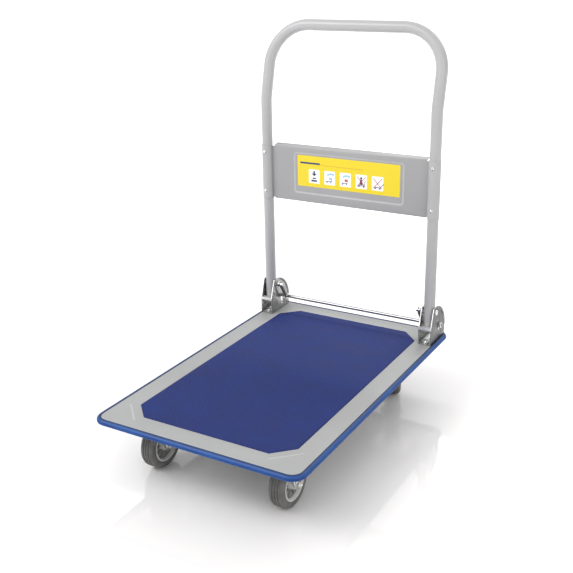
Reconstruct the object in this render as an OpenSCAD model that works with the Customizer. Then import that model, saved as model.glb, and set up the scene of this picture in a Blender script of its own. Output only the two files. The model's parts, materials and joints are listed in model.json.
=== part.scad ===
// Folding platform cart: pressed deck with an octagonal mat, folding tube handle, foot release bar,
// two fixed casters in front and two swivel casters behind.
// Row frame: origin at the bottom centre of the box, +Z up, +X to the right, -Y is the front end,
// the handle stands at the +Y end. Millimetres.

/* [Deck] */
// overall width over the bumper
deck_w = 470; // [300:5:800]
// overall length over the bumper
deck_l = 730; // [450:5:1200]
// sheet thickness of the deck
deck_t = 1.5; // [1:0.1:4]
// depth of the deck's turned-down rim
rim_h = 10; // [6:0.5:40]
// outer corner radius over the bumper
corner_r = 30; // [15:1:80]
// depth of the pressed recess for the mat
recess_h = 2.6; // [1:0.1:6]
// height of the pressed bead at each front corner
bead_h = 0.8; // [0.3:0.1:2]
// width of that bead
bead_w = 5; // [3:0.5:12]
// distance from the mat's cut corner to the bead
bead_gap = 19.5; // [8:0.5:40]

/* [Bumper] */
// width of the bumper strip, seen from above
bumper_w = 8.4; // [5:0.1:20]
// height of the bumper strip
bumper_h = 11; // [7:0.5:40]
// how far the strip stands above the deck
bumper_up = 0.4; // [0:0.1:3]
// depth of the groove along the strip's face
bumper_groove = 1; // [0.3:0.1:2]

/* [Mat] */
// margin from the outer edge to the mat, front and sides
mat_margin = 53.2; // [45:0.5:150]
// margin from the rear edge to the mat
mat_rear = 49.5; // [30:0.5:200]
// length of each cut corner along an edge
mat_cut = 39; // [10:1:120]
// thickness of the mat
mat_t = 3; // [1.5:0.1:8]
// gap around the mat in its recess
mat_gap = 0.5; // [0.2:0.1:2]

/* [Underframe] */
// height of the cross channels under the deck
chan_h = 8; // [5:0.5:40]
// width of the cross channels
chan_w = 84; // [50:1:140]
// length of the cross channels
chan_l = 400; // [240:5:700]
// sheet thickness of the channels
chan_t = 2; // [1:0.1:4]
// width of the two lengthwise channels
rail_w = 30; // [15:1:80]
// height of the lengthwise channels
rail_h = 14; // [6:0.5:50]
// distance of the lengthwise channels from the middle
rail_x = 80; // [30:1:150]

/* [Handle] */
// outer diameter of the handle tube
tube_d = 25.4; // [16:0.1:40]
// wall of the handle tube
tube_wall = 1.5; // [0.8:0.1:4]
// distance from the deck's side edge to each upright's middle
tube_in = 24.3; // [18:0.1:80]
// distance from the rear edge to the uprights
tube_rear = 77.5; // [50:0.5:200]
// height above the deck of the bend where the uprights lean back
kink_up = 530.2; // [300:1:850]
// angle by which the upper part leans back
lean = 13.4; // [0:0.1:30]
// length from that bend to the top bar's middle
upper_l = 169; // [140:1:400]
// bend radius of the two top corners
top_r = 93.4; // [50:0.1:120]
// bend radius of the lean
kink_r = 60; // [30:1:200]
// height of the hinge pins above the deck
pivot_up = 73.5; // [60:0.5:150]
// length of the plug in each lower end of the tube
plug_l = 28; // [10:0.5:32]

/* [Handle panel] */
// height of the panel's lower edge above the deck
panel_up = 293.5; // [150:1:450]
// height of the panel
panel_h = 130; // [60:1:250]
// sheet thickness of the panel
panel_t = 1.2; // [0.6:0.1:3]
// depth of the top flange
flange_top = 18; // [6:0.5:40]
// upward slope of the top flange
flange_slope = 12; // [0:1:40]
// depth of the bottom flange
flange_low = 14; // [6:0.5:40]
// width of the pressed recess
press_w = 276; // [100:1:380]
// height of the pressed recess
press_h = 94; // [30:1:200]
// depth of the pressed recess
press_d = 1; // [0.3:0.1:3]
// width of the label
label_w = 260; // [80:1:370]
// height of the label
label_h = 73; // [20:1:180]
// thickness of the label
label_t = 0.3; // [0.1:0.05:1]
// distance of the screws from the panel's edges
screw_in = 17; // [8:0.5:40]
// diameter of a screw's head
screw_d = 7; // [4:0.1:12]

/* [Brackets] */
// sheet thickness of the brackets
brk_t = 2.2; // [1.5:0.1:5]
// gap between the tube and each cheek
cheek_gap = 0.6; // [0.3:0.1:3]
// length of a bracket along the deck
brk_l = 84; // [60:0.5:140]
// distance from the bracket's front edge to the tube's middle
brk_front = 24.5; // [18:0.5:50]
// height of a bracket above the deck
brk_h = 85.5; // [60:0.5:160]
// radius of the rounded rear edge
quad_r = 62; // [40:0.5:100]
// height of that arc's centre above the deck
quad_z = 25.5; // [10:0.5:60]
// width of the raised band along the arc
band_w = 6; // [3:0.5:12]
// height of the raised band
band_h = 0.9; // [0.3:0.1:3]
// height of the stop strap's lower edge above the deck
strap_z = 35.5; // [20:0.5:80]
// height of the stop strap
strap_h = 6.5; // [4:0.5:20]
// diameter of the hinge pins
pin_d = 8; // [5:0.1:14]
// radial clearance of the hinge pins
pin_gap = 0.08; // [0.02:0.01:0.1]
// wall of the bushes in the tube
bush_wall = 2; // [1:0.1:4]

/* [Release bar] */
// diameter of the foot bar
bar_d = 8; // [5:0.1:14]
// distance from the tube's middle back to the bar
bar_back = 26.5; // [20:0.5:40]
// height of the bar below the hinge pins
bar_drop = 39; // [30:0.5:60]
// travel of the bar when it is pressed down
bar_travel = 18; // [8:0.5:30]
// clearance between the bar and the path of the tube's lower end
bar_clear = 1.2; // [0.5:0.1:5]
// clearance of the bar in its slots
slot_gap = 0.5; // [0.2:0.1:2]
// wire diameter of the return springs
wire_d = 1.4; // [0.8:0.1:3]
// outer diameter of the return springs
spring_d = 8; // [5:0.1:12]

/* [Casters] */
// diameter of the wheels
wheel_d = 100; // [70:1:150]
// gap from a wheel's tread up to the swivel crown
wheel_clear = 6; // [3:0.5:20]
// height from the swivel crown's underside to the mounting plate's top face
head_h = 18.4; // [14:0.1:60]
// width of the tyres
tyre_w = 33; // [20:0.5:50]
// diameter of the rims
rim_d = 72; // [40:1:120]
// depth of the grooves in the tread
tread_cut = 1.5; // [0.5:0.1:4]
// distance of each wheel from the middle
wheel_x = 150; // [80:1:240]
// distance from the front edge to the front axles
front_in = 107; // [60:1:200]
// distance from the rear edge to the swivels
rear_in = 130; // [90:1:250]
// trail of the rear wheels behind their swivels
trail = 33; // [15:1:60]
// angle at which the rear wheels stand
swivel_a = 27; // [-90:1:90]
// sheet thickness of the forks
fork_t = 2.5; // [1.5:0.1:5]
// clearance between the wheel's hub and each fork leg
leg_gap = 0.6; // [0.3:0.1:3]
// diameter of the axle bolts
axle_d = 8; // [5:0.1:14]
// radial clearance of the axle bolts
axle_gap = 0.08; // [0.02:0.01:0.1]
// length of a caster's mounting plate
plate_l = 92; // [60:1:140]
// width of a caster's mounting plate
plate_w = 74; // [50:1:120]
// thickness of a mounting plate
plate_t = 2.5; // [1.5:0.1:6]
// diameter of the swivel head
head_d = 54; // [40:1:80]
// diameter of the mounting bolts
bolt_d = 8; // [5:0.1:12]

/* [Hidden] */
$fn = 48;

e = 0.01;
yf = -deck_l / 2;                        // front outer edge
yr = deck_l / 2;                         // rear outer edge
pw = deck_w - 2 * bumper_w;              // deck sheet, without the bumper
pl = deck_l - 2 * bumper_w;
pr = corner_r - bumper_w;
mat_hx = deck_w / 2 - mat_margin;        // half width of the mat
mat_y0 = yf + mat_margin;
mat_y1 = yr - mat_rear;
crown_z = wheel_d + wheel_clear;         // underside of the swivel crowns
plate_z = crown_z + head_h;              // top face of the caster plates
under_z = plate_z + chan_h;              // underside of the recess floor
deck_z = under_z + recess_h + deck_t;    // top face of the deck
pivot_z = deck_z + pivot_up;
kink_z = deck_z + kink_up;
panel_z0 = deck_z + panel_up;
tube_r = tube_d / 2;
tube_x = deck_w / 2 - tube_in;           // uprights
ty = yr - tube_rear;
// the tube reaches down as far as the foot bar lets it swing past
tail_l = sqrt(pow(sqrt(pow(bar_back, 2) + pow(bar_drop, 2)) - bar_d / 2 - bar_clear, 2) - pow(tube_r, 2));
zlow = pivot_z - tail_l;                 // lower end of the tube
cheek_i = tube_r + cheek_gap;            // tube axis to a cheek's inner face
brk_y0 = ty - brk_front;
brk_y1 = brk_y0 + brk_l;
bar_y = ty + bar_back;
bar_z = pivot_z - bar_drop;
hub_w = tyre_w + 1;
leg_i = hub_w / 2 + leg_gap;             // wheel plane to a leg's inner face
leg_o = leg_i + fork_t;
axle_z = wheel_d / 2;
fax_y = yf + front_in;                   // front axles
kp_y = yr - rear_in;                     // swivel axes
clip_t = 1.2;
pin_in = 17;                             // how far a hinge pin stands inside its bracket
hex_h = 6.5;                             // height of a hinge pin's hexagon
spring_x = tube_x - cheek_i - brk_t - hex_h - spring_d / 2 - 0.5;
hex_k = 0.8125;                          // across flats over bolt diameter, halved

steel = [0.74, 0.75, 0.74];
zinc = [0.8, 0.8, 0.78];
blue = [0.12, 0.22, 0.55];

// a closed outline with rounded corners
module rounded(w, l, r) {
  square([w - 2 * r, l], center = true);
  square([w, l - 2 * r], center = true);
  for (x = [-1, 1], y = [-1, 1]) translate([x * (w / 2 - r), y * (l / 2 - r)]) circle(r);
}

// the mat's outline, grown by g
module octagon(g) {
  c = mat_cut + g * 0.5858;
  x = mat_hx + g; a = mat_y0 - g; b = mat_y1 + g;
  polygon([[-x + c, a], [x - c, a], [x, a + c], [x, b - c], [x - c, b], [-x + c, b], [-x, b - c], [-x, a + c]]);
}

module hexagon(d) { circle(d = d * hex_k * 2 / cos(30), $fn = 6); }

module deck_plate() color(steel) {
  difference() {
    union() {
      translate([0, 0, deck_z - rim_h]) linear_extrude(rim_h) rounded(pw, pl, pr);
      translate([0, 0, under_z]) linear_extrude(recess_h + deck_t) octagon(mat_gap + deck_t);
    }
    // hollow underside, left around the recess
    translate([0, 0, deck_z - rim_h - 1]) linear_extrude(rim_h + 1 - deck_t) difference() {
      rounded(pw - 2 * deck_t, pl - 2 * deck_t, pr - deck_t);
      octagon(mat_gap + deck_t);
    }
    translate([0, 0, deck_z - rim_h - 1]) linear_extrude(rim_h + 1 - recess_h - deck_t) octagon(mat_gap + deck_t + e);
    translate([0, 0, deck_z - recess_h]) linear_extrude(recess_h + 1) octagon(mat_gap);
    bracket_holes(bolt_d + 0.6);
  }
  // pressed bead beside each cut corner of the mat, front end
  bd = mat_cut * sqrt(2) + 2 * bead_gap * 0.41;
  for (s = [-1, 1])
    translate([s * (mat_hx - mat_cut / 2 + bead_gap * sin(45)), mat_y0 + mat_cut / 2 - bead_gap * sin(45), deck_z - e])
      rotate([0, 0, s * 45]) linear_extrude(bead_h + e) {
        square([bd - bead_w, bead_w], center = true);
        for (k = [-1, 1]) translate([k * (bd - bead_w) / 2, 0]) circle(d = bead_w);
      }
}

// the strip's section: x outward from the deck's rim, y up
module bumper_section() {
  g = bumper_groove; h = bumper_h; w = bumper_w; c = 1.6;
  polygon([[0, 0], [w - c, 0], [w, c], [w, h * 0.38], [w - g, h * 0.44], [w - g, h * 0.52], [w, h * 0.58],
    [w, h - c], [w - c, h], [0, h]]);
}

module bumper_strip() color(blue) {
  z0 = deck_z + bumper_up - bumper_h;
  for (s = [-1, 1]) {
    translate([s * pw / 2, 0, z0]) rotate([90, 0, 0]) translate([0, 0, -(pl - 2 * pr) / 2])
      linear_extrude(pl - 2 * pr) scale([s, 1]) bumper_section();
    translate([0, s * pl / 2, z0]) rotate([90, 0, 90]) translate([0, 0, -(pw - 2 * pr) / 2])
      linear_extrude(pw - 2 * pr) scale([s, 1]) bumper_section();
  }
  for (x = [-1, 1], y = [-1, 1])
    translate([x * (pw / 2 - pr), y * (pl / 2 - pr), z0]) rotate([0, 0, x > 0 ? (y > 0 ? 0 : -90) : (y > 0 ? 90 : 180)])
      rotate_extrude(angle = 90) translate([pr, 0]) bumper_section();
}

module platform_mat() color([0.2, 0.27, 0.5])
  translate([0, 0, deck_z - recess_h]) linear_extrude(mat_t) octagon(0);

// channel of width w, height h, along X, open side up, top at z = 0
module channel(w, l, h, t) {
  translate([-l / 2, -w / 2, -h]) cube([l, w, t]);
  for (s = [0, 1]) translate([-l / 2, -w / 2 + s * (w - t), -h]) cube([l, t, h]);
}

module cross_channels() color(steel) difference() {
  for (y = [fax_y, kp_y]) translate([0, y, under_z]) channel(chan_w, chan_l, chan_h, chan_t);
  for (x = [-1, 1], y = [fax_y, kp_y]) translate([x * wheel_x, y, 0]) plate_holes(plate_z - 1, chan_h + 2, bolt_d + 0.6);
}

module side_channels() color(steel) {
  l = kp_y - fax_y - chan_w - 1;
  for (s = [-1, 1]) translate([s * rail_x, (kp_y + fax_y) / 2, under_z]) rotate([0, 0, 90])
    channel(rail_w, l, rail_h, chan_t);
}

// side outline of a cheek, in (y, z)
module cheek_outline(r) {
  qy = brk_y1 - quad_r; qz = deck_z + quad_z; top = deck_z + brk_h; sz = deck_z + strap_z + strap_h;
  intersection() {
    union() {
      translate([qy, qz]) circle(r, $fn = 96);
      translate([brk_y0, deck_z]) square([qy + r - brk_y0, quad_z]);
    }
    polygon([[brk_y0, deck_z], [qy + r, deck_z], [qy + r, top], [brk_y0 + 14, top], [brk_y0, sz]]);
  }
}

module rod_slot() {
  w = bar_d + 2 * slot_gap;
  translate([bar_y, bar_z]) circle(d = w);
  translate([bar_y, bar_z - bar_travel]) circle(d = w);
  translate([bar_y - w / 2, bar_z - bar_travel]) square([w, bar_travel]);
}

// one cheek's plate from x0, thickness t
module cheek(x0, t) translate([x0, 0, 0]) rotate([90, 0, 90]) linear_extrude(t) difference() {
  cheek_outline(quad_r);
  rod_slot();
  translate([ty, pivot_z]) circle(d = pin_d);
}

// raised band along the arc, from x0, thickness t
module band(x0, t) {
  qy = brk_y1 - quad_r; qz = deck_z + quad_z;
  translate([x0, 0, 0]) rotate([90, 0, 90]) linear_extrude(t) intersection() {
    difference() {
      translate([qy, qz]) circle(quad_r, $fn = 96);
      translate([qy, qz]) circle(quad_r - band_w, $fn = 96);
    }
    translate([qy + 20, qz]) square([quad_r, deck_z + brk_h - qz]);
    cheek_outline(quad_r);
  }
}

// bolt positions of a bracket's base, from its own middle plane
bolt_ys = [brk_y0 + 12, brk_y1 - 15];

module bracket_holes(d) for (s = [-1, 1], y = bolt_ys)
  translate([s * tube_x, y, deck_z - rim_h]) cylinder(d = d, h = rim_h + brk_t + 1);

module bracket(s) color(zinc) difference() {
  translate([s * tube_x, 0, 0]) {
    cheek(-cheek_i - brk_t, brk_t);
    cheek(cheek_i, brk_t);
    band(s * (cheek_i + brk_t) - (s < 0 ? band_h : 0) - (s > 0 ? e : -e), band_h);
    band(-s * (cheek_i + brk_t) - (s > 0 ? band_h : 0) + (s > 0 ? e : -e), band_h);
    translate([-cheek_i - e, brk_y0, deck_z]) cube([2 * cheek_i + 2 * e, brk_l, brk_t]);
    // stop strap: flat top with a turned-down front lip
    sy = ty - tube_r - cheek_gap - brk_y0;
    sw = 2 * (cheek_i + brk_t);
    translate([-sw / 2, brk_y0 - e, deck_z + strap_z + strap_h - brk_t]) cube([sw, sy, brk_t]);
    translate([-sw / 2, brk_y0 - e, deck_z + strap_z]) cube([sw, brk_t, strap_h]);
  }
  bracket_holes(bolt_d + 0.6);
  // room for the bumper, which stands a little above the deck
  translate([0, 0, deck_z - 1]) linear_extrude(1 + bumper_up + 0.3) difference() {
    square([deck_w + 20, deck_l + 20], center = true);
    rounded(pw - 0.6, pl - 0.6, pr - 0.3);
  }
}
module bracket_left() bracket(-1);
module bracket_right() bracket(1);

module bracket_bolts() color(zinc) for (s = [-1, 1], y = bolt_ys) translate([s * tube_x, y, 0]) {
  nz = deck_z - deck_t - 5;
  translate([0, 0, nz - 1.5]) cylinder(d = bolt_d, h = deck_z + brk_t + e - nz + 1.5);
  translate([0, 0, deck_z + brk_t]) cylinder(d = bolt_d * 1.75, h = 1);
  translate([0, 0, deck_z + brk_t + 1 - e]) linear_extrude(4) hexagon(bolt_d);
  translate([0, 0, nz]) linear_extrude(5) hexagon(bolt_d);
}

module hinge_pins() color(zinc) for (s = [-1, 1]) translate([s * tube_x, ty, pivot_z]) rotate([0, s * 90, 0]) {
  o = cheek_i + brk_t;
  translate([0, 0, -o - 10 - pin_in + 10]) cylinder(d = pin_d, h = 2 * o + pin_in);
  translate([0, 0, o]) cylinder(d1 = pin_d * 1.6, d2 = pin_d * 1.1, h = 4);
  translate([0, 0, -o - hex_h]) linear_extrude(hex_h) hexagon(pin_d * 0.94);
}

// close-wound return spring, its hooks round the hinge pin and the bar
module return_springs() color(zinc) {
  ln = sqrt(pow(bar_back, 2) + pow(bar_drop, 2));
  a = atan2(bar_back, bar_drop);
  rr = (spring_d - wire_d) / 2;
  hr = max(pin_d, bar_d) / 2 + wire_d / 2 + 0.4;
  n = floor((ln - 2 * hr - 2) / (wire_d * 0.92));
  st = (ln - 2 * hr) / n;
  for (s = [-1, 1]) translate([s * spring_x, ty, pivot_z]) rotate([a, 0, 0]) {
    for (i = [0 : n]) translate([0, 0, -hr - i * st]) rotate_extrude($fn = 24) translate([rr, 0]) circle(d = wire_d, $fn = 16);
    for (z = [0, -ln]) translate([0, 0, z]) rotate([0, 90, 0])
      rotate_extrude($fn = 32) translate([hr, 0]) circle(d = wire_d, $fn = 16);
    for (z = [-hr, -ln + hr]) translate([0, 0, z]) cube([wire_d, 2 * rr, wire_d], center = true);
  }
}

// side outline of a fork leg, in (y, z): wide at the top, round at the axle
module leg_outline(y0, y1, ztop, ay, r) {
  polygon([[y0, ztop], [y1, ztop], [y1, ztop - 12], [ay + r, axle_z], [ay - r, axle_z], [y0, ztop - 12]]);
  translate([ay, axle_z]) circle(r);
}

module fork_legs(y0, y1, ztop, ay) for (x = [-leg_o, leg_i]) translate([x, 0, 0]) rotate([90, 0, 90])
  linear_extrude(fork_t) difference() {
    leg_outline(y0, y1, ztop, ay, 11);
    translate([ay, axle_z]) circle(d = axle_d);
  }

// caster plate bolt holes, from z0 upward
module plate_holes(z0, h, d) for (x = [-1, 1], y = [-1, 1])
  translate([x * (plate_l / 2 - 11), y * (plate_w / 2 - 10), z0]) cylinder(d = d, h = h);

module plate_body() difference() {
  translate([0, 0, plate_z - plate_t]) linear_extrude(plate_t) rounded(plate_l, plate_w, 8);
  plate_holes(plate_z - plate_t - 1, plate_t + 2, bolt_d + 0.6);
}

module fixed_fork(s) color(zinc) translate([s * wheel_x, fax_y, 0]) {
  plate_body();
  top = plate_z - plate_t;
  translate([-leg_o, -27, top - fork_t]) cube([2 * leg_o, 54, fork_t + e]);
  fork_legs(-27, 27, top, 0);
}
module fixed_fork_left() fixed_fork(-1);
module fixed_fork_right() fixed_fork(1);

// axle bolt along X at the origin: hex head at -X, nut at +X
module axle_bolt() rotate([0, 90, 0]) {
  translate([0, 0, -leg_o - 4.5]) cylinder(d = axle_d, h = 2 * leg_o + 4.5 + 9);
  translate([0, 0, -leg_o - 5]) linear_extrude(5) hexagon(axle_d);
  translate([0, 0, leg_o]) cylinder(d = axle_d * 1.9, h = 1.2);
  translate([0, 0, leg_o + 1.2 - e]) linear_extrude(6) hexagon(axle_d);
}
module front_axles() color(zinc) for (s = [-1, 1]) translate([s * wheel_x, fax_y, axle_z]) axle_bolt();

module swivel_head(s) color(zinc) translate([s * wheel_x, kp_y, 0]) {
  plate_body();
  h = plate_z - plate_t;
  difference() {
    union() {
      translate([0, 0, crown_z + fork_t + 2.5]) cylinder(d = head_d, h = h - crown_z - fork_t - 2.5 + e);
      translate([0, 0, crown_z - 3.5]) cylinder(d = 12, h = h - crown_z + 3.5);
      translate([0, 0, crown_z - 3.5]) cylinder(d = 17, h = 3);
    }
  }
}
module swivel_head_left() swivel_head(-1);
module swivel_head_right() swivel_head(1);

module caster_bolts() color(zinc) for (x = [-1, 1], y = [fax_y, kp_y]) translate([x * wheel_x, y, 0]) {
  plate_holes(plate_z - plate_t - 6.5, plate_t + 6.5 + chan_t + 4.5 - 0.5, bolt_d);
  for (a = [-1, 1], b = [-1, 1]) translate([a * (plate_l / 2 - 11), b * (plate_w / 2 - 10), 0]) {
    translate([0, 0, plate_z - plate_t - 5.5]) linear_extrude(5.5) hexagon(bolt_d);
    translate([0, 0, plate_z + chan_t]) cylinder(d = bolt_d * 1.6, h = 3.5);
  }
}

// swivel fork: crown disc, arm and two legs, in its own straight-back frame
module fork_local() {
  difference() {
    union() {
      translate([0, 0, crown_z]) cylinder(d = head_d - 4, h = fork_t + 2);
      translate([-leg_o, -8, crown_z]) cube([2 * leg_o, trail + 24, fork_t]);
      fork_legs(-8, trail + 16, crown_z + fork_t, trail);
    }
    translate([0, 0, crown_z - 1]) cylinder(d = 12.6, h = fork_t + 5);
  }
}
module swivel_place(s) translate([s * wheel_x, kp_y, 0]) rotate([0, 0, swivel_a]) children();
module swivel_fork_left() color(zinc) swivel_place(-1) fork_local();
module swivel_fork_right() color(zinc) swivel_place(1) fork_local();
// the rear bolts have their nuts at -X
module rear_axle_left() color(zinc) swivel_place(-1) translate([0, trail, axle_z]) rotate([0, 0, 180]) axle_bolt();
module rear_axle_right() color(zinc) swivel_place(1) translate([0, trail, axle_z]) rotate([0, 0, 180]) axle_bolt();

// half section of a tyre, x is the radius, y the width
module tyre_section() {
  w = tyre_w / 2; r0 = rim_d / 2; r1 = wheel_d / 2; th = r1 - r0; c = min(4, th * 2 / 7);
  g = min(tread_cut, th / 2); k = tyre_w / 33;
  polygon([[r0, -w + 2], [r0 + th * 2 / 7, -w], [r1 - c - th / 7, -w], [r1 - 1.2, -w + c - 1], [r1, -w + c + 1.5],
    [r1, -7.5 * k], [r1 - g, -6.7 * k], [r1 - g, -5.3 * k], [r1, -4.5 * k],
    [r1, -1.5 * k], [r1 - g, -0.8 * k], [r1 - g, 0.8 * k], [r1, 1.5 * k],
    [r1, 4.5 * k], [r1 - g, 5.3 * k], [r1 - g, 6.7 * k], [r1, 7.5 * k],
    [r1, w - c - 1.5], [r1 - 1.2, w - c + 1], [r1 - c - th / 7, w], [r0 + th * 2 / 7, w], [r0, w - 2]]);
}
module hub_section() {
  w = tyre_w / 2; r1 = rim_d / 2; rb = axle_d / 2 + axle_gap;
  polygon([[rb, -hub_w / 2], [12, -hub_w / 2], [13.5, -8], [r1 - 8, -4], [r1 - 4.5, -w + 1.5], [r1, -w + 1.5],
    [r1, w - 1.5], [r1 - 4.5, w - 1.5], [r1 - 8, 4], [13.5, 8], [12, hub_w / 2], [rb, hub_w / 2]]);
}
module tyre_local() color([0.25, 0.25, 0.25]) rotate([0, 90, 0]) rotate_extrude($fn = 64) tyre_section();
module hub_local() color([0.7, 0.7, 0.7]) rotate([0, 90, 0]) rotate_extrude($fn = 64) hub_section();
module front_place(s) translate([s * wheel_x, fax_y, axle_z]) children();
module rear_place(s) swivel_place(s) translate([0, trail, axle_z]) children();
module tyre_front_left() front_place(-1) tyre_local();
module tyre_front_right() front_place(1) tyre_local();
module tyre_rear_left() rear_place(-1) tyre_local();
module tyre_rear_right() rear_place(1) tyre_local();
module hub_front_left() front_place(-1) hub_local();
module hub_front_right() front_place(1) hub_local();
module hub_rear_left() rear_place(-1) hub_local();
module hub_rear_right() rear_place(1) hub_local();

// the bent tube as a run of radius r
module tube_run(r, over) {
  kt = kink_r * tan(lean / 2);
  lap = 2;
  thin = 0.1;
  for (s = [-1, 1]) {
    // upright
    translate([s * tube_x, ty, zlow - over]) cylinder(r = r, h = kink_z - kt - zlow + over);
    // lean bend, a hair thinner and a little longer, so that its ends lie inside the straight runs
    translate([s * tube_x, ty + kink_r, kink_z - kt]) rotate([90, 0, 90]) rotate([0, 0, 180 - lean - lap])
      rotate_extrude(angle = lean + 2 * lap) translate([kink_r, 0]) circle(r - thin);
  }
  // leaning part, in its own plane, its corners lapped in the same way
  translate([0, ty, kink_z]) rotate([-lean, 0, 0]) {
    for (s = [-1, 1]) {
      translate([s * tube_x, 0, kt]) cylinder(r = r, h = upper_l - top_r - kt);
      translate([s * (tube_x - top_r), 0, upper_l - top_r]) rotate([90, 0, 0]) rotate([0, 0, (s > 0 ? 0 : 90) - lap])
        rotate_extrude(angle = 90 + 2 * lap) translate([top_r, 0]) circle(r - thin);
    }
    translate([-(tube_x - top_r), 0, upper_l]) rotate([0, 90, 0]) cylinder(r = r, h = 2 * (tube_x - top_r));
  }
}
// where the panel's screws go in, on the front of the tubes
screw_zs = [panel_z0 + screw_in + 3.5, panel_z0 + panel_h - screw_in + 1.5];
module screw_shanks(l) for (s = [-1, 1], z = screw_zs)
  translate([s * tube_x, ty - tube_r - panel_t - 0.05 - 0.1, z]) rotate([-90, 0, 0]) cylinder(d = screw_d * 0.5, h = l);

module handle_tube() color(steel) difference() {
  tube_run(tube_r, 0);
  tube_run(tube_r - tube_wall, 1);
  screw_shanks(8);
  for (s = [-1, 1]) translate([s * tube_x, ty, pivot_z]) rotate([0, 90, 0])
    cylinder(d = pin_d + 2 * pin_gap + 2 * bush_wall, h = tube_d + 4, center = true);
}

module handle_bushes() color(zinc) for (s = [-1, 1]) translate([s * tube_x, ty, pivot_z]) rotate([0, 90, 0])
  difference() {
    cylinder(d = pin_d + 2 * pin_gap + 2 * bush_wall, h = tube_d + cheek_gap, center = true);
    cylinder(r = pin_d / 2 + pin_gap, h = tube_d + 10, center = true);
  }

// section of the panel's flat middle, in (y, z)
module panel_section() {
  t = panel_t; z0 = panel_z0; z1 = panel_z0 + panel_h; r = 3;
  translate([0, z0 + r]) square([t, panel_h - 2 * r]);
  // lower flange, square to the panel
  translate([r, z0 + r]) intersection() {
    difference() { circle(r); circle(r - t); }
    translate([-r, -r]) square([r, r]);
  }
  translate([r - e, z0]) square([flange_low - r, t]);
  // upper flange, sloping up to the back
  translate([r, z1 - r]) intersection() {
    difference() { circle(r); circle(r - t); }
    translate([-r, 0]) square([r, r]);
  }
  translate([r - e, z1 - t]) rotate(flange_slope) square([flange_top - r, t]);
}

module tube_plugs() color([0.12, 0.12, 0.12]) for (s = [-1, 1])
  translate([s * tube_x, ty, zlow]) cylinder(r = tube_r - tube_wall, h = min(plug_l, tail_l - 10));

module handle_panel() color(steel) {
  px = tube_x - tube_r - panel_t;       // inner end of the half rings
  rin = tube_r + 0.05;
  difference() {
    translate([-px - e, ty, 0]) rotate([90, 0, 90]) linear_extrude(2 * px + 2 * e) panel_section();
    // pressed recess, front side
    translate([-press_w / 2, ty - 1, panel_z0 + (panel_h - press_h) / 2 + 4]) cube([press_w, press_d * 0.6 + 1, press_h]);
    // the flanges stop short of the tubes
    for (s = [-1, 1]) translate([s * (px + 2) - 6, ty + panel_t, panel_z0 - 5]) cube([12, 40, panel_h + 20]);
  }
  // back of the pressed recess
  translate([-press_w / 2 - 1, ty + panel_t - e, panel_z0 + (panel_h - press_h) / 2 + 3]) cube([press_w + 2, press_d * 0.6, press_h + 2]);
  // ends curled round the front half of each tube
  difference() {
    for (s = [-1, 1]) translate([s * tube_x, ty, panel_z0]) linear_extrude(panel_h) difference() {
      circle(rin + panel_t);
      circle(rin);
      translate([-tube_d, panel_t]) square([2 * tube_d, tube_d]);
    }
    screw_shanks(8);
  }
}

module panel_screws() color(zinc) {
  for (s = [-1, 1], z = screw_zs) translate([s * tube_x, ty - tube_r - panel_t - 0.05, z]) rotate([90, 0, 0])
    cylinder(d1 = screw_d, d2 = screw_d * 0.6, h = 2);
  screw_shanks(4.2);
}

module panel_label() color([0.95, 0.88, 0.12])
  translate([-label_w / 2, ty + press_d * 0.6 - label_t, panel_z0 + (panel_h - label_h) / 2 + 10]) cube([label_w, label_t, label_h]);

module release_bar() color(zinc) {
  h = tube_x + cheek_i + brk_t + 7;
  translate([-h, bar_y, bar_z]) rotate([0, 90, 0]) cylinder(d = bar_d, h = 2 * h);
}
module bar_nuts() color(zinc) for (s = [-1, 1])
  translate([s * (tube_x + cheek_i + brk_t + 3.2), bar_y, bar_z]) rotate([0, 90, 0]) difference() {
    union() {
      linear_extrude(4, center = true) hexagon(bar_d);
      translate([0, 0, -s * 2.2 - 0.5]) cylinder(d = bar_d * 1.85, h = 1);
    }
    cylinder(d = bar_d, h = 20, center = true);
  }
module bar_clips() color(zinc) for (s = [-1, 1], k = [-5.2, 5.2])
  translate([s * (spring_x) + k, bar_y, bar_z]) rotate([0, 90, 0]) difference() {
    cylinder(d = bar_d * 1.7, h = clip_t, center = true);
    cylinder(d = bar_d, h = 10, center = true);
  }

deck_plate();
bumper_strip();
platform_mat();
cross_channels();
side_channels();
bracket_left();
bracket_right();
bracket_bolts();
hinge_pins();
return_springs();
fixed_fork_left();
fixed_fork_right();
front_axles();
swivel_head_left();
swivel_head_right();
caster_bolts();
handle_tube();
handle_bushes();
tube_plugs();
handle_panel();
panel_screws();
panel_label();
release_bar();
bar_nuts();
bar_clips();
swivel_fork_left();
swivel_fork_right();
rear_axle_left();
rear_axle_right();
tyre_front_left();
tyre_front_right();
tyre_rear_left();
tyre_rear_right();
hub_front_left();
hub_front_right();
hub_rear_left();
hub_rear_right();
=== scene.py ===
# %% [markdown]
# # A folding platform cart
# The cart has a pressed steel deck with a ribbed mat and a blue bumper strip, a bent tube handle with a
# sheet panel, two zinc-plated brackets with a chromed foot bar, and four casters. The exact frame comes
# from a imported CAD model, and this notebook gives it its looks: some pieces are modelled again with finer
# edges, the others keep their CAD shape, and each gets its own finish. Everything is in metres, in the
# frame of the CAD model: X across the cart, -Y towards its front, Z up.

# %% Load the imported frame
import json
import math

import bmesh
import bpy
from mathutils import Matrix, Vector


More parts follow.
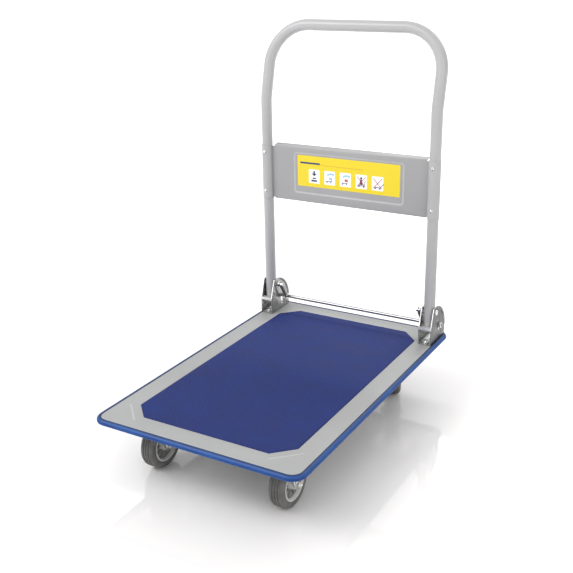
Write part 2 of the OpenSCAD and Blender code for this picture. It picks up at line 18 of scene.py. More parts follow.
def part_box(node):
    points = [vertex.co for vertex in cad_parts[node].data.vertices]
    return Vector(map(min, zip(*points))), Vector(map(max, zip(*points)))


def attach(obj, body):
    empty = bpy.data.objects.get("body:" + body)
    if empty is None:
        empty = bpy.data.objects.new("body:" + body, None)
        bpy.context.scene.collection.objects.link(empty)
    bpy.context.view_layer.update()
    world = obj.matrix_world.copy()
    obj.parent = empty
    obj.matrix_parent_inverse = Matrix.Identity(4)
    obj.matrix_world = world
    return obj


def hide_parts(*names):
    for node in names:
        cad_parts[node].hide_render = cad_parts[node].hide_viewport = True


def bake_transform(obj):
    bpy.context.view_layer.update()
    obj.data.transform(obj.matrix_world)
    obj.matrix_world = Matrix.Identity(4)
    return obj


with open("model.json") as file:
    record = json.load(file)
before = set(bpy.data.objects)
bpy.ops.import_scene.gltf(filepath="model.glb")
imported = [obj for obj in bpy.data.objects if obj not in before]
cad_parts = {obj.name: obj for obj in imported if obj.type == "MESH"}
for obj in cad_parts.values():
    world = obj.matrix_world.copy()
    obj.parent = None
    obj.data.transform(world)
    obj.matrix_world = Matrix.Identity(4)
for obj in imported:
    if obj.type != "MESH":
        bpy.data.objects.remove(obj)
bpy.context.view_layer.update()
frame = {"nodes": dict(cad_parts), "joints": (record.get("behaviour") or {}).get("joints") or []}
scene = bpy.context.scene

# %% [markdown]
# ## Sizes that the pieces share
# A piece goes where the CAD says. Boxes of CAD nodes give the places, and the few sizes that a box can't
# show, such as a bend radius or a sheet's thickness, are named here once, in millimetres times `MM`.

# %% Places and shared sizes
MM = 0.001
bumper_low, bumper_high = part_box("bumper_strip")
sheet_low, sheet_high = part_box("deck_plate")
mat_low, mat_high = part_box("platform_mat")
tube_low, tube_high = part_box("handle_tube")
panel_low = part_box("handle_panel")[0]
bar_low, bar_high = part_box("release_bar")
bush_low, bush_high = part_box("handle_bushes")

DECK_SHEET = 1.5 * MM
RIM = 10 * MM
DECK_CORNER = 21.6 * MM
MAT_CUT = 39 * MM
TUBE_R = 12.7 * MM
TUBE_WALL = 1.5 * MM
BUSH_R = 6.08 * MM
LEAN = math.radians(13.4)
deck_top = sheet_low.z + RIM
tube_x = tube_high.x - TUBE_R
tube_y = bush_low.y + BUSH_R
pin_z = (bush_low.z + bush_high.z) / 2
bar_y = (bar_low.y + bar_high.y) / 2
bar_z = (bar_low.z + bar_high.z) / 2
joint = {j["name"]: j for j in frame["joints"]}
print("deck top", round(deck_top, 4), "uprights", round(tube_x, 4), round(tube_y, 4), "pins", round(pin_z, 4))

# %% [markdown]
# ## Finishes
# A finish is a small node tree around one Principled shader. Noise in Object coordinates gives the grain,
# because the pieces lie at the origin and the pattern then stays put when a body moves. A colour that is
# the same all over sits on the shader's own socket, and only what really varies is linked.


# %% Colours and a bare finish
def colour(red, green, blue):
    """An sRGB colour, 0 to 255, as the linear colour that a shader takes."""
    parts = [c / 255 for c in (red, green, blue)]
    return tuple(c / 12.92 if c <= 0.04045 else ((c + 0.055) / 1.055) ** 2.4 for c in parts) + (1.0,)


def bare_finish(name, **sockets):
    """A new material with its shader's plain sockets set. Returns the material, nodes, links and shader."""
    finish = bpy.data.materials.new(name)
    finish.use_nodes = True
    nodes, links = finish.node_tree.nodes, finish.node_tree.links
    shader = nodes["Principled BSDF"]
    for socket, value in sockets.items():
        shader.inputs[socket.replace("_", " ")].default_value = value
    return finish, nodes, links, shader


def grey(value):
    return (value, value, value, 1.0)


print("mid grey, 128, is", round(colour(128, 128, 128)[0], 3), "as a linear value")

# %% [markdown]
# ### Grain, ramps and bumps
# Four building blocks serve every finish: noise of a given blob size, a ramp that turns it into tones, a
# remap that turns it into a roughness, and a chain of bumps whose depths are real depths in metres.


# %% Grain, ramps and bumps
def grain(nodes, links, size, detail=2.0, stretch=(1, 1, 1)):
    """Noise in Object coordinates with blobs about `size` metres across."""
    place = nodes.new("ShaderNodeTexCoord")
    mapping = nodes.new("ShaderNodeMapping")
    mapping.inputs["Scale"].default_value = stretch
    noise = nodes.new("ShaderNodeTexNoise")
    noise.inputs["Scale"].default_value = 1 / size
    noise.inputs["Detail"].default_value = detail
    links.new(place.outputs["Object"], mapping.inputs["Vector"])
    links.new(mapping.outputs["Vector"], noise.inputs["Vector"])
    return noise.outputs["Fac"]


def spread(nodes, links, factor, low, high, start=0.3, stop=0.7):
    """Turns a 0 to 1 factor into a number between low and high."""
    remap = nodes.new("ShaderNodeMapRange")
    for socket, value in (("From Min", start), ("From Max", stop), ("To Min", low), ("To Max", high)):
        remap.inputs[socket].default_value = value
    links.new(factor, remap.inputs["Value"])
    return remap.outputs["Result"]


def tones(nodes, links, factor, *stops):
    """A colour ramp from (position, colour) stops."""
    ramp = nodes.new("ShaderNodeValToRGB")
    ramp.color_ramp.elements[0].position, ramp.color_ramp.elements[0].color = stops[0]
    ramp.color_ramp.elements[1].position, ramp.color_ramp.elements[1].color = stops[-1]
    for position, tone in stops[1:-1]:
        ramp.color_ramp.elements.new(position).color = tone
    links.new(factor, ramp.inputs["Fac"])
    return ramp.outputs["Color"]


def blend_tones(nodes, links, first, second, share):
    """Multiplies the second tone over the first by a share."""
    mix = nodes.new("ShaderNodeMix")
    mix.data_type, mix.blend_type = "RGBA", "MULTIPLY"
    mix.inputs[0].default_value = share
    links.new(first, mix.inputs[6])
    links.new(second, mix.inputs[7])
    return mix.outputs[2]


def relief(nodes, links, shader, *layers):
    """Bumps from (height factor, depth in metres) layers, one over the other."""
    under = None
    for height, depth in layers:
        bump = nodes.new("ShaderNodeBump")
        bump.inputs["Distance"].default_value = depth
        bump.inputs["Strength"].default_value = 1.0
        links.new(height, bump.inputs["Height"])
        if under:
            links.new(under, bump.inputs["Normal"])
        under = bump.outputs["Normal"]
    links.new(under, shader.inputs["Normal"])


print("four building blocks, and multiplying one tone over another")

# %% [markdown]
# ### Tones that follow height
# Painted highlight and painted shade along an edge follow its height. A second ramp on the Z coordinate,
# between two heights in metres, is multiplied over a finish that is already made.


# %% Tones by height
def by_height(finish, low, high, *stops):
    """Multiplies a finish's colour by tones that change with height, from low to high in metres."""
    nodes, links = finish.node_tree.nodes, finish.node_tree.links
    shader = nodes["Principled BSDF"]
    place = nodes.new("ShaderNodeTexCoord")
    split = nodes.new("ShaderNodeSeparateXYZ")
    links.new(place.outputs["Object"], split.inputs["Vector"])
    level = spread(nodes, links, split.outputs["Z"], 0.0, 1.0, low, high)
    current = shader.inputs["Base Color"].links[0].from_socket
    shade = tones(nodes, links, level, *stops)
    links.new(blend_tones(nodes, links, current, shade, 1.0), shader.inputs["Base Color"])
    print(finish.name, "changes between", round(low, 4), "and", round(high, 4), "m")


# %% [markdown]
# ### Painted steel
# The deck and the handle are powder coated in a light silver grey. Such a coat is satin, has a faint
# orange peel about 2 mm wide and a slow drift in tone. All four coats come from one function: the deck's
# is the dullest and the panel's the darkest. The tube's coat is lighter than the panel's, and the pressed
# walls of the panel take the lightest; these lighter copies of one coat are painted highlight where the
# light catches.


# %% Powder coats
def powder_coat(name, base, dull, glossy):
    finish, nodes, links, shader = bare_finish(name, Metallic=0.0, Specular_IOR_Level=0.5, IOR=1.5)
    drift = grain(nodes, links, 0.16, 3.0)
    fleck = grain(nodes, links, 0.0009, 1.0)
    darker = tuple(c * 0.94 for c in base[:3]) + (1.0,)
    slow = tones(nodes, links, drift, (0.35, darker), (0.65, base))
    speck = tones(nodes, links, fleck, (0.35, (0.93, 0.93, 0.93, 1)), (0.6, (1, 1, 1, 1)))
    links.new(blend_tones(nodes, links, slow, speck, 0.6), shader.inputs["Base Color"])
    patches = grain(nodes, links, 0.03, 4.0)
    links.new(spread(nodes, links, patches, glossy, dull), shader.inputs["Roughness"])
    peel = grain(nodes, links, 0.0022, 1.5)
    relief(nodes, links, shader, (peel, 0.00006), (fleck, 0.00001))
    return finish


deck_paint = powder_coat("deck_powder_coat", colour(172, 173, 173), 0.5, 0.38)
# Painted highlight by height: the flat top, between the 0.78 and 0.84 stops, is multiplied by 0.8, while the
# rounded rim edge and the tops of the beads keep their full tone and read as lit edges; the rim below is at
# 0.9.
by_height(deck_paint, deck_top - 2.6 * MM, deck_top + 0.7 * MM, (0.0, grey(0.9)), (0.3, grey(1)),
          (0.7, grey(1)), (0.78, grey(0.8)), (0.84, grey(0.8)), (1.0, grey(1)))
handle_paint = powder_coat("handle_powder_coat", colour(175, 175, 176), 0.33, 0.28)
panel_paint = powder_coat("panel_powder_coat", colour(160, 160, 161), 0.44, 0.37)
wall_highlight_coat = powder_coat("pressed_wall_painted_highlight", colour(182, 182, 183), 0.34, 0.24)
print("powder coats:", [coat.name for coat in (deck_paint, handle_paint, panel_paint, wall_highlight_coat)])

# %% [markdown]
# ### Rubber and plastic
# The mat is dark blue rubber with a dusty bloom, the bumper a clearer blue strip, the tyres dark grey
# with scuffed treads, and the wheel centres light grey plastic whose web is painted darker, as painted
# shade. One function makes all of them, because they share a structure: two tones of the same colour, a
# matt surface, and a fine moulded grain. The bumper's upper lip is painted darker, a painted shade line
# under the deck's edge, and a band just above its foot lighter, a painted highlight.


# %% Moulded finishes
def moulded(name, base, bloom, rough, grain_size, depth, drift_size=0.05):
    finish, nodes, links, shader = bare_finish(name, Specular_IOR_Level=0.35)
    drift = grain(nodes, links, drift_size, 5.0)
    fine = grain(nodes, links, grain_size, 2.0)
    cloudy = tones(nodes, links, drift, (0.36, base), (0.68, bloom))
    speck = tones(nodes, links, fine, (0.3, (0.82, 0.82, 0.82, 1)), (0.62, (1, 1, 1, 1)))
    links.new(blend_tones(nodes, links, cloudy, speck, 0.5), shader.inputs["Base Color"])
    links.new(spread(nodes, links, drift, rough - 0.05, rough + 0.07), shader.inputs["Roughness"])
    relief(nodes, links, shader, (fine, depth))
    return finish


mat_rubber = moulded("ribbed_mat_rubber", colour(15, 34, 96), colour(22, 42, 106), 0.72, 0.0011, 0.00012)
bumper_rubber = moulded("bumper_rubber", colour(32, 78, 150), colour(40, 92, 168), 0.46, 0.0014, 0.00004)
# Painted shade and highlight by height: the upper lip is painted dark, a painted shade line under the deck's
# edge; a band just above the foot is painted lighter, a painted highlight on the lower lip; the foot itself
# is painted darker.
by_height(bumper_rubber, bumper_low.z, bumper_high.z,
          (0.0, (0.7, 0.75, 0.85, 1)), (0.12, grey(1)), (0.22, grey(0.85)), (0.82, grey(0.85)),
          (0.93, (0.75, 0.66, 0.62, 1)), (0.97, (0.5, 0.38, 0.34, 1)), (1.0, (0.5, 0.32, 0.26, 1)))
tyre_rubber = moulded("tyre_rubber", colour(97, 97, 96), colour(119, 118, 116), 0.6, 0.0012, 0.00010, 0.02)
hub_plastic = moulded("hub_plastic", colour(205, 205, 203), colour(220, 220, 218), 0.36, 0.0016, 0.00003)
shaded_web_plastic = moulded("shaded_web_plastic", colour(136, 136, 136), colour(156, 156, 155), 0.5, 0.0016, 0.00003)
plug_plastic = moulded("plug_plastic", colour(26, 26, 27), colour(38, 38, 39), 0.5, 0.001, 0.00004)
moulds = (mat_rubber, bumper_rubber, tyre_rubber, hub_plastic, shaded_web_plastic, plug_plastic)
print("moulded finishes:", [finish.name for finish in moulds])

# %% [markdown]
# ### Plated steel
# The brackets, forks and bolts are zinc plated. Zinc has a cool bright base with faint warm and blue
# clouds from the passivation and fine rolling lines, which stretched noise imitates. The bracket's outer
# faces take a darker zinc, as painted shade, its straps and front edges a nearly white zinc, as painted
# highlight, and the forks are brighter than the brackets.
# The foot bar is chromed, so it is the smoothest and hardly varies.


# %% Plated finishes
def plated(name, cool, warm, shine, dull, line_depth):
    finish, nodes, links, shader = bare_finish(name, Metallic=1.0)
    clouds = grain(nodes, links, 0.014, 3.0)
    rolled = grain(nodes, links, 0.0008, 2.0, stretch=(1, 0.06, 1))
    base = tones(nodes, links, clouds, (0.32, cool), (0.68, warm))
    lines = tones(nodes, links, rolled, (0.3, (0.88, 0.88, 0.88, 1)), (0.65, (1, 1, 1, 1)))
    links.new(blend_tones(nodes, links, base, lines, 0.5), shader.inputs["Base Color"])
    links.new(spread(nodes, links, clouds, shine, dull), shader.inputs["Roughness"])
    relief(nodes, links, shader, (rolled, line_depth))
    return finish


zinc = plated("zinc_plate", colour(152, 155, 159), colour(188, 186, 181), 0.22, 0.38, 0.00002)
fork_zinc = plated("fork_zinc", colour(206, 210, 214), colour(224, 222, 215), 0.22, 0.38, 0.00002)
# The darker zinc is painted shade and the nearly white one painted highlight.
zinc_painted_shade = plated("zinc_painted_shade", colour(98, 100, 104), colour(124, 123, 120), 0.26, 0.42, 0.00003)
zinc_painted_highlight = plated("zinc_painted_highlight", colour(236, 237, 238), colour(244, 243, 240), 0.5, 0.6, 0.00001)
bright_steel = plated("bright_fastener", colour(222, 224, 228), colour(234, 232, 226), 0.14, 0.26, 0.00001)
chrome = plated("bar_chrome", colour(158, 159, 162), colour(168, 168, 169), 0.12, 0.18, 0.000004)
platings = (zinc, fork_zinc, zinc_painted_shade, zinc_painted_highlight, bright_steel, chrome)
print("plated finishes:", [finish.name for finish in platings])

# %% [markdown]
# ### Printed vinyl
# The label is printed in six plain inks on vinyl: a yellow ground, white tiles, and marks in two blues,
# red and brown. A faint fibre grain and a soft gloss are enough.


# %% Label inks
def ink(name, base, rough=0.35):
    """A printed tone with a thin glossy coat."""
    coat = {"Coat_Weight": 0.25, "Coat_Roughness": 0.2}
    finish, nodes, links, shader = bare_finish(name, Specular_IOR_Level=0.5, **coat)
    fibre = grain(nodes, links, 0.0007, 2.0)
    paler = tuple(min(1, c * 1.05 + 0.004) for c in base[:3]) + (1.0,)
    links.new(tones(nodes, links, fibre, (0.35, base), (0.65, paler)), shader.inputs["Base Color"])
    links.new(spread(nodes, links, fibre, rough, rough + 0.08), shader.inputs["Roughness"])
    relief(nodes, links, shader, (fibre, 0.000008))
    return finish


yellow_ink = ink("label_yellow", colour(228, 204, 12))
white_ink = ink("label_white", colour(246, 246, 240))
blue_ink = ink("label_dark_blue", colour(38, 52, 96))
pale_blue_ink = ink("label_pale_blue", colour(150, 196, 226))
red_ink = ink("label_red", colour(176, 52, 66))
brown_ink = ink("label_line", colour(206, 150, 40))
inks = [yellow_ink, white_ink, blue_ink, pale_blue_ink, red_ink, brown_ink]
print("inks:", [finish.name for finish in inks])

# %% [markdown]
# ## Working with meshes
# The helpers below are used by every piece. `make_piece` turns points and faces into an object at the
# origin, and `piece_of` does the same with a bmesh, which is Blender's way to build a mesh face by face.
# `close_up` merges doubles, points the faces outwards and smooths all but the sharp edges.


# %% Mesh helpers
WELD = 2e-6


def show(name, mesh, finish=None):
    """A new object for a mesh, at the origin."""
    if finish:
        mesh.materials.append(finish)
    piece = bpy.data.objects.new(name, mesh)
    scene.collection.objects.link(piece)
    return piece


def make_piece(name, points, faces, finish=None, edges=()):
    mesh = bpy.data.meshes.new(name)
    mesh.from_pydata([tuple(p) for p in points], list(edges), faces)
    return show(name, mesh, finish)


def piece_of(name, work, finish):
    mesh = bpy.data.meshes.new(name)
    work.to_mesh(mesh)
    work.free()
    return show(name, mesh, finish)


def smooth(piece, sharp=35):
    piece.data.shade_smooth()
    piece.data.set_sharp_from_angle(angle=math.radians(sharp))


def close_up(piece, sharp=35):
    work = bmesh.new()
    work.from_mesh(piece.data)
    bmesh.ops.remove_doubles(work, verts=work.verts, dist=WELD)
    bmesh.ops.recalc_face_normals(work, faces=work.faces)
    work.to_mesh(piece.data)
    work.free()
    smooth(piece, sharp)


print("points closer than", WELD, "m are merged")

# %% [markdown]
# ### Modifiers, and handing a piece over
# `thicken` gives a skin its sheet thickness towards the inside and `soften` rounds its edges. `settle`
# turns modifiers into plain mesh. `fit` hands a finished piece to its CAD body and hides the CAD nodes
# that it stands for.


# %% Modifiers and handing over
def thicken(piece, thickness, even=True):
    wall = piece.modifiers.new("sheet", "SOLIDIFY")
    wall.thickness, wall.offset, wall.use_even_offset = thickness, -1, even


def soften(piece, width, angle):
    bevel = piece.modifiers.new("rounded edges", "BEVEL")
    bevel.width, bevel.segments = width, 2
    bevel.limit_method, bevel.angle_limit = "ANGLE", math.radians(angle)


def settle(piece, sharp=35):
    depsgraph = bpy.context.evaluated_depsgraph_get()
    plain = bpy.data.meshes.new_from_object(piece.evaluated_get(depsgraph))
    piece.modifiers.clear()
    piece.data = plain
    smooth(piece, sharp)


def fit(piece, body, slot, *nodes):
    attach(piece, body)
    if nodes:
        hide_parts(*nodes)
    low = [round(min(c[i] for c in piece.bound_box), 4) for i in range(3)]
    high = [round(max(c[i] for c in piece.bound_box), 4) for i in range(3)]
    print(f"{piece.name}: {len(piece.data.polygons)} faces, {low} to {high}")
    return piece


def join_into(first, *others):
    """Joins pieces of the same body into the first one."""
    with bpy.context.temp_override(active_object=first, selected_editable_objects=[first, *others]):
        bpy.ops.object.join()


# %% [markdown]
# ### Outlines
# Pressed sheet and moulded rubber have rounded corners everywhere. `rounded` puts an arc into each corner
# of any outline, and the deck, the mat and the panel's recess are drawn with it.


# %% Outlines
def rounded(corners, radius, steps=6):
    """A closed outline, anticlockwise, with an arc of that radius in each corner."""
    outline = []
    for i, corner in enumerate(corners):
        here, before = Vector(corner), Vector(corners[i - 1])
        after = Vector(corners[(i + 1) % len(corners)])
        inward, outward = (before - here).normalized(), (after - here).normalized()
        half = inward.angle(outward) / 2
        centre = here + (inward + outward).normalized() * (radius / math.sin(half))
        start = here + inward * (radius / math.tan(half)) - centre
        sweep = (math.pi - 2 * half) / steps
        outline += [centre + Matrix.Rotation(sweep * k, 2) @ start for k in range(steps + 1)]
    return outline


def rectangle(half_x, half_y, radius, steps=6):
    corners = [(half_x, -half_y), (half_x, half_y), (-half_x, half_y), (-half_x, -half_y)]
    return rounded(corners, radius, steps)


def mat_outline(grow, radius, steps=3):
    """The mat's octagon, grown all round. A 45 degree corner grows by 2 minus the root of 2."""
    x, y0, y1 = mat_high.x + grow, mat_low.y - grow, mat_high.y + grow
    cut = MAT_CUT + grow * 0.5858
    corners = [(x - cut, y0), (x, y0 + cut), (x, y1 - cut), (x - cut, y1)]
    corners += [(-cx, cy) for cx, cy in reversed(corners)]
    return rounded(corners, radius, steps)


print("a corner of the mat:", [round(c, 4) for c in mat_outline(0, 3 * MM)[0]])

# %% [markdown]
# ### Rings and the faces between them
# A pressed shape is a stack of rings at different heights. Quads join each ring to the next, and a flat
# area with holes in it is filled with triangles between its outer ring and the rings inside.


# %% Faces between rings
def loop_of(work, outline, z):
    """Adds a closed ring of points at height z to a bmesh and returns its vertices."""
    return [work.verts.new((p[0], p[1], z)) for p in outline]


def bridge(work, lower, upper):
    """Quads between two rings of equal length."""
    for i in range(len(lower)):
        j = (i + 1) % len(lower)
        work.faces.new((lower[i], lower[j], upper[j], upper[i]))


def stack(work, rings):
    for lower, upper in zip(rings, rings[1:]):
        bridge(work, lower, upper)


def flat_between(work, *rings):
    """Fills the flat area between an outer ring and the rings inside it."""
    edges = []
    for ring in rings:
        for i, vert in enumerate(ring):
            pair = (vert, ring[(i + 1) % len(ring)])
            edges.append(work.edges.get(pair) or work.edges.new(pair))
    bmesh.ops.triangle_fill(work, edges=edges, use_beauty=True)


def face_towards(work, axis, sign):
    """Points the largest face's side of a skin along an axis, and the rest with it."""
    bmesh.ops.recalc_face_normals(work, faces=work.faces)
    if max(work.faces, key=lambda f: f.calc_area()).normal[axis] * sign < 0:
        bmesh.ops.reverse_faces(work, faces=work.faces)


print("a 6-step corner has", len(rectangle(1, 1, 0.1)) // 4, "points")

# %% [markdown]
# ## The deck
# The deck is one pressed sheet: its rim is folded down, an octagonal recess for the mat is pressed in, and
# a short bead stands up beside each front corner of the mat. It is modelled as the sheet's upper skin,
# ring by ring from the rim to the middle, and a Solidify modifier then gives it its 1.5 mm.

# %% Deck sheet
EDGE_R = 3 * MM
RECESS_R = 1.3 * MM
MAT_GAP = 0.5 * MM
recess_z = mat_low.z

deck = bmesh.new()
half_x, half_y = sheet_high.x, sheet_high.y
rings = [loop_of(deck, rectangle(half_x, half_y, DECK_CORNER), sheet_low.z)]
for step in range(6):
    turn = math.radians(18 * step)
    inset = EDGE_R * (1 - math.cos(turn))
    outline = rectangle(half_x - inset, half_y - inset, DECK_CORNER - inset)
    rings.append(loop_of(deck, outline, deck_top - EDGE_R + EDGE_R * math.sin(turn)))
stack(deck, rings)
print("the rim has", len(rings), "rings of", len(rings[0]), "points")

# %% [markdown]
# ### The recess
# The sheet turns down round the mat with a small radius and then falls straight to the recess floor. The
# floor is one face with eight rounded corners.

# %% Recess for the mat
recess = []
for step in range(5):
    turn = math.radians(22.5 * step)
    grow = MAT_GAP + RECESS_R * (1 - math.sin(turn))
    recess.append(loop_of(deck, mat_outline(grow, 3 * MM + grow), deck_top - RECESS_R * (1 - math.cos(turn))))
recess.append(loop_of(deck, mat_outline(MAT_GAP, 3.5 * MM), recess_z + 0.5 * MM))
recess.append(loop_of(deck, mat_outline(MAT_GAP - 0.5 * MM, 3 * MM), recess_z))
stack(deck, recess)
deck.faces.new(recess[-1])
print("the recess is", round((deck_top - recess_z) / MM, 2), "mm deep")

# %% [markdown]
# ### The corner beads
# A bead stiffens the sheet beside each front corner of the mat. It is a flat-topped ridge 0.8 mm high:
# five nested outlines with round ends, each a little smaller and higher than the last.

# %% Front corner beads
BEAD_W, BEAD_H, BEAD_GAP = 5 * MM, 0.8 * MM, 19.5 * MM
bead_half = MAT_CUT * math.sqrt(2) / 2 + BEAD_GAP * 0.41
beads = []
for side in (-1, 1):
    slant = BEAD_GAP * 0.7071
    middle = Vector((side * (mat_high.x - MAT_CUT / 2 + slant), mat_low.y + MAT_CUT / 2 - slant))
    along = Matrix.Rotation(math.radians(45 * side), 2)
    nested = []
    for share, lift in ((1.6, 0), (1.2, 0.12), (0.9, 0.45), (0.6, 0.8), (0.3, 0.97)):
        width = BEAD_W / 2 * share
        stadium = rectangle(bead_half - BEAD_W / 2 + width, width, width * 0.98, 5)
        nested.append(loop_of(deck, [middle + along @ p for p in stadium], deck_top + BEAD_H * lift))
    stack(deck, nested)
    deck.faces.new(nested[-1])
    beads.append(nested[0])
print("beads", round(2 * bead_half / MM, 1), "mm long")

# %% [markdown]
# ### Closing the deck
# The flat top is filled between the rim, the recess and the beads in one step, so no seam shows. Then
# Solidify makes the skin a sheet.

# %% Finish the deck
flat_between(deck, rings[-1], recess[0], *beads)
face_towards(deck, 2, 1)
deck_sheet = piece_of("deck_sheet", deck, deck_paint)
thicken(deck_sheet, DECK_SHEET)
settle(deck_sheet, 30)
fit(deck_sheet, "deck", "deck_paint", "deck_plate")

# %% [markdown]
# ## Growing pieces with Geometry Nodes
# What repeats or follows a path is grown by a node tree from a few points and edges. Every tree has named
# inputs, and ends by making its instances real mesh and setting the material. `grown` sets the inputs by
# their identifiers before the object is first evaluated, and then keeps only the plain mesh.


# %% Making and running a tree
def new_tree(name, **inputs):
    """A node group with a geometry in and out and named inputs. Returns the tree and its end nodes."""
    tree = bpy.data.node_groups.new(name, "GeometryNodeTree")
    tree.interface.new_socket("Geometry", in_out="INPUT", socket_type="NodeSocketGeometry")
    for label, kind in inputs.items():
        tree.interface.new_socket(label, in_out="INPUT", socket_type="NodeSocket" + kind)
    tree.interface.new_socket("Geometry", in_out="OUTPUT", socket_type="NodeSocketGeometry")
    return tree, tree.nodes.new("NodeGroupInput"), tree.nodes.new("NodeGroupOutput")


def wire(tree, *links):
    """Links given as (node, output, node, input)."""
    for source, output, target, socket in links:
        tree.links.new(source.outputs[output], target.inputs[socket])


def end_tree(tree, source, output, end, finish):
    """The tail that every tree shares: real mesh, with its material."""
    real = tree.nodes.new("GeometryNodeRealizeInstances")
    paint = tree.nodes.new("GeometryNodeSetMaterial")
    paint.inputs["Material"].default_value = finish
    wire(tree, (source, output, real, "Geometry"), (real, "Geometry", paint, "Geometry"),
         (paint, "Geometry", end, "Geometry"))
    return tree


def grown(name, points, edges, tree, values, turns=(), sharp=35):
    """Runs a tree on points and edges. Each point may carry a turn for what is set out on it."""
    piece = make_piece(name, points, [], edges=edges)
    if turns:
        marks = piece.data.attributes.new("turn", "FLOAT_VECTOR", "POINT")
        for item, turn in zip(marks.data, turns):
            item.vector = turn.to_euler()
    modifier = piece.modifiers.new("grow", "NODES")
    modifier.node_group = tree
    for item in tree.interface.items_tree:
        if item.in_out == "INPUT" and item.name in values:
            modifier[item.identifier] = values[item.name]
    settle(piece, sharp)
    return piece


print("trees take points and edges in and give plain mesh out")

# %% [markdown]
# ### Sweeping a bar along a path
# The tube handle, the springs and the mat's ribs all follow a path, so one tree makes them: it turns a
# chain of edges into a curve and draws a round section along it, which can be flattened into an oval.


# %% The sweep tree
def bar_tree(finish):
    """Path edges in, an oval bar along them out."""
    tree, start, end = new_tree("bar_along_path", Radius="Float", Flatten="Vector", Sides="Int", Caps="Bool")
    path = tree.nodes.new("GeometryNodeMeshToCurve")
    section = tree.nodes.new("GeometryNodeCurvePrimitiveCircle")
    oval = tree.nodes.new("GeometryNodeTransform")
    sweep = tree.nodes.new("GeometryNodeCurveToMesh")
    wire(tree, (start, "Geometry", path, "Mesh"), (start, "Sides", section, "Resolution"),
         (start, "Radius", section, "Radius"), (section, "Curve", oval, "Geometry"),
         (start, "Flatten", oval, "Scale"), (path, "Curve", sweep, "Curve"),
         (oval, "Geometry", sweep, "Profile Curve"), (start, "Caps", sweep, "Fill Caps"))
    return end_tree(tree, sweep, "Mesh", end, finish)


def bar_along(name, paths, radius, finish, sides=24, flatten=(1, 1, 1), caps=True, sharp=35):
    """A piece swept along each path, a list of points."""
    points, edges = [], []
    for path in paths:
        first = len(points)
        points += path
        edges += [(i, i + 1) for i in range(first, len(points) - 1)]
    values = {"Radius": radius, "Flatten": flatten, "Sides": sides, "Caps": caps}
    return grown(name, points, edges, bar_tree(finish), values, sharp=sharp)


print("the sweep tree takes Radius, Flatten, Sides and Caps")

# %% [markdown]
# ## The mat
# The mat is a rubber octagon that fills the recess, with fine low ribs that run slantwise across it. The
# body is a plate with a bevelled edge, built from three rings.

# %% Mat body
RIB_PITCH, RIB_W, RIB_H, RIB_SLANT = 8 * MM, 4.6 * MM, 0.5 * MM, math.radians(49)
MAT_BEVEL = 0.6 * MM
mat_top = mat_high.z - RIB_H
mat_work = bmesh.new()
mat_levels = [(0, recess_z + 0.02 * MM), (0, mat_top - MAT_BEVEL), (-MAT_BEVEL, mat_top)]
mat_rings = [loop_of(mat_work, mat_outline(grow, 3 * MM + grow), z) for grow, z in mat_levels]
stack(mat_work, mat_rings)
mat_work.faces.new(mat_rings[-1])
mat_work.faces.new(list(reversed(mat_rings[0])))
mat_body = piece_of("mat_body", mat_work, mat_rubber)
close_up(mat_body)
fit(mat_body, "deck", "mat_rubber", "platform_mat")

# %% [markdown]
# ### The mat's ribs
# Each rib is a flattened bar along a line that is cut to the octagon's border, so the sweep tree makes
# all of them at once. Its lower half is sunk in the plate, which leaves a low round ridge.

# %% Mat ribs
across = Vector((math.cos(RIB_SLANT), math.sin(RIB_SLANT)))
run = Vector((-across.y, across.x))
border = mat_outline(-2.8 * MM, 1 * MM, 1)
reach = max(p.dot(across) for p in border)


def clipped(offset):
    """The two ends of the rib line at that offset, inside the mat's border."""
    ends = []
    for i, p in enumerate(border):
        q = border[(i + 1) % len(border)]
        a, b = p.dot(across) - offset, q.dot(across) - offset
        if a * b < 0:
            ends.append(p + (q - p) * (a / (a - b)))
    return sorted(ends, key=lambda e: e.dot(run))


rib_paths = []
count = int(2 * reach / RIB_PITCH)
for k in range(count):
    ends = clipped((k - (count - 1) / 2) * RIB_PITCH)
    if len(ends) == 2 and (ends[1] - ends[0]).length > 12 * MM:
        rib_paths.append([(e.x, e.y, mat_top) for e in ends])
flat = (1, RIB_H / (RIB_W / 2), 1)
mat_ribs = bar_along("mat_ribs", rib_paths, RIB_W / 2, mat_rubber, 12, flat, sharp=60)
fit(mat_ribs, "deck", "mat_rubber")
print(len(rib_paths), "ribs")

# %% [markdown]
# ## The bumper strip
# The bumper is an extruded strip bent round the deck's rim, with a rounded upper lip and fine grooves
# along its face. Its section is drawn once as a closed profile and swept round the deck by Geometry
# Nodes, which is how the real one is made too: one section, one path.

# %% The bumper's section
# Points are (outwards from the rim, upwards from the strip's foot) in millimetres.
bumper_section = [
    (0, 0.3), (5.4, 0), (6.9, 0.35), (7.9, 1.2), (8.4, 2.2), (8.4, 3.4), (7.7, 3.7), (7.7, 4.2),
    (8.4, 4.5), (8.4, 5.5), (7.6, 5.8), (7.6, 6.3), (8.1, 6.6), (7.7, 7.5), (6.7, 8.7), (5.3, 9.8),
    (3.6, 10.6), (1.6, 11.0), (0.3, 10.9), (-0.5, 10.5), (-0.5, 9.9), (0, 9.4)]


def profile_object(name, points):
    curve = bpy.data.curves.new(name, "CURVE")
    curve.dimensions = "2D"
    spline = curve.splines.new("POLY")
    spline.points.add(len(points) - 1)
    for point, (x, y) in zip(spline.points, points):
        point.co = (x, y, 0, 1)
    spline.use_cyclic_u = True
    profile = bpy.data.objects.new(name, curve)
    scene.collection.objects.link(profile)
    return profile


profile = profile_object("bumper_section", [(x * MM, -bumper_low.z - y * MM) for x, y in bumper_section])
print("the bumper's section has", len(bumper_section), "points")

# %% [markdown]
# ### Sweeping the strip
# A curve's normal is set to Z up, so that the section doesn't roll as it goes round the corners. The
# section is an object input of the tree, and its Y axis then points down.


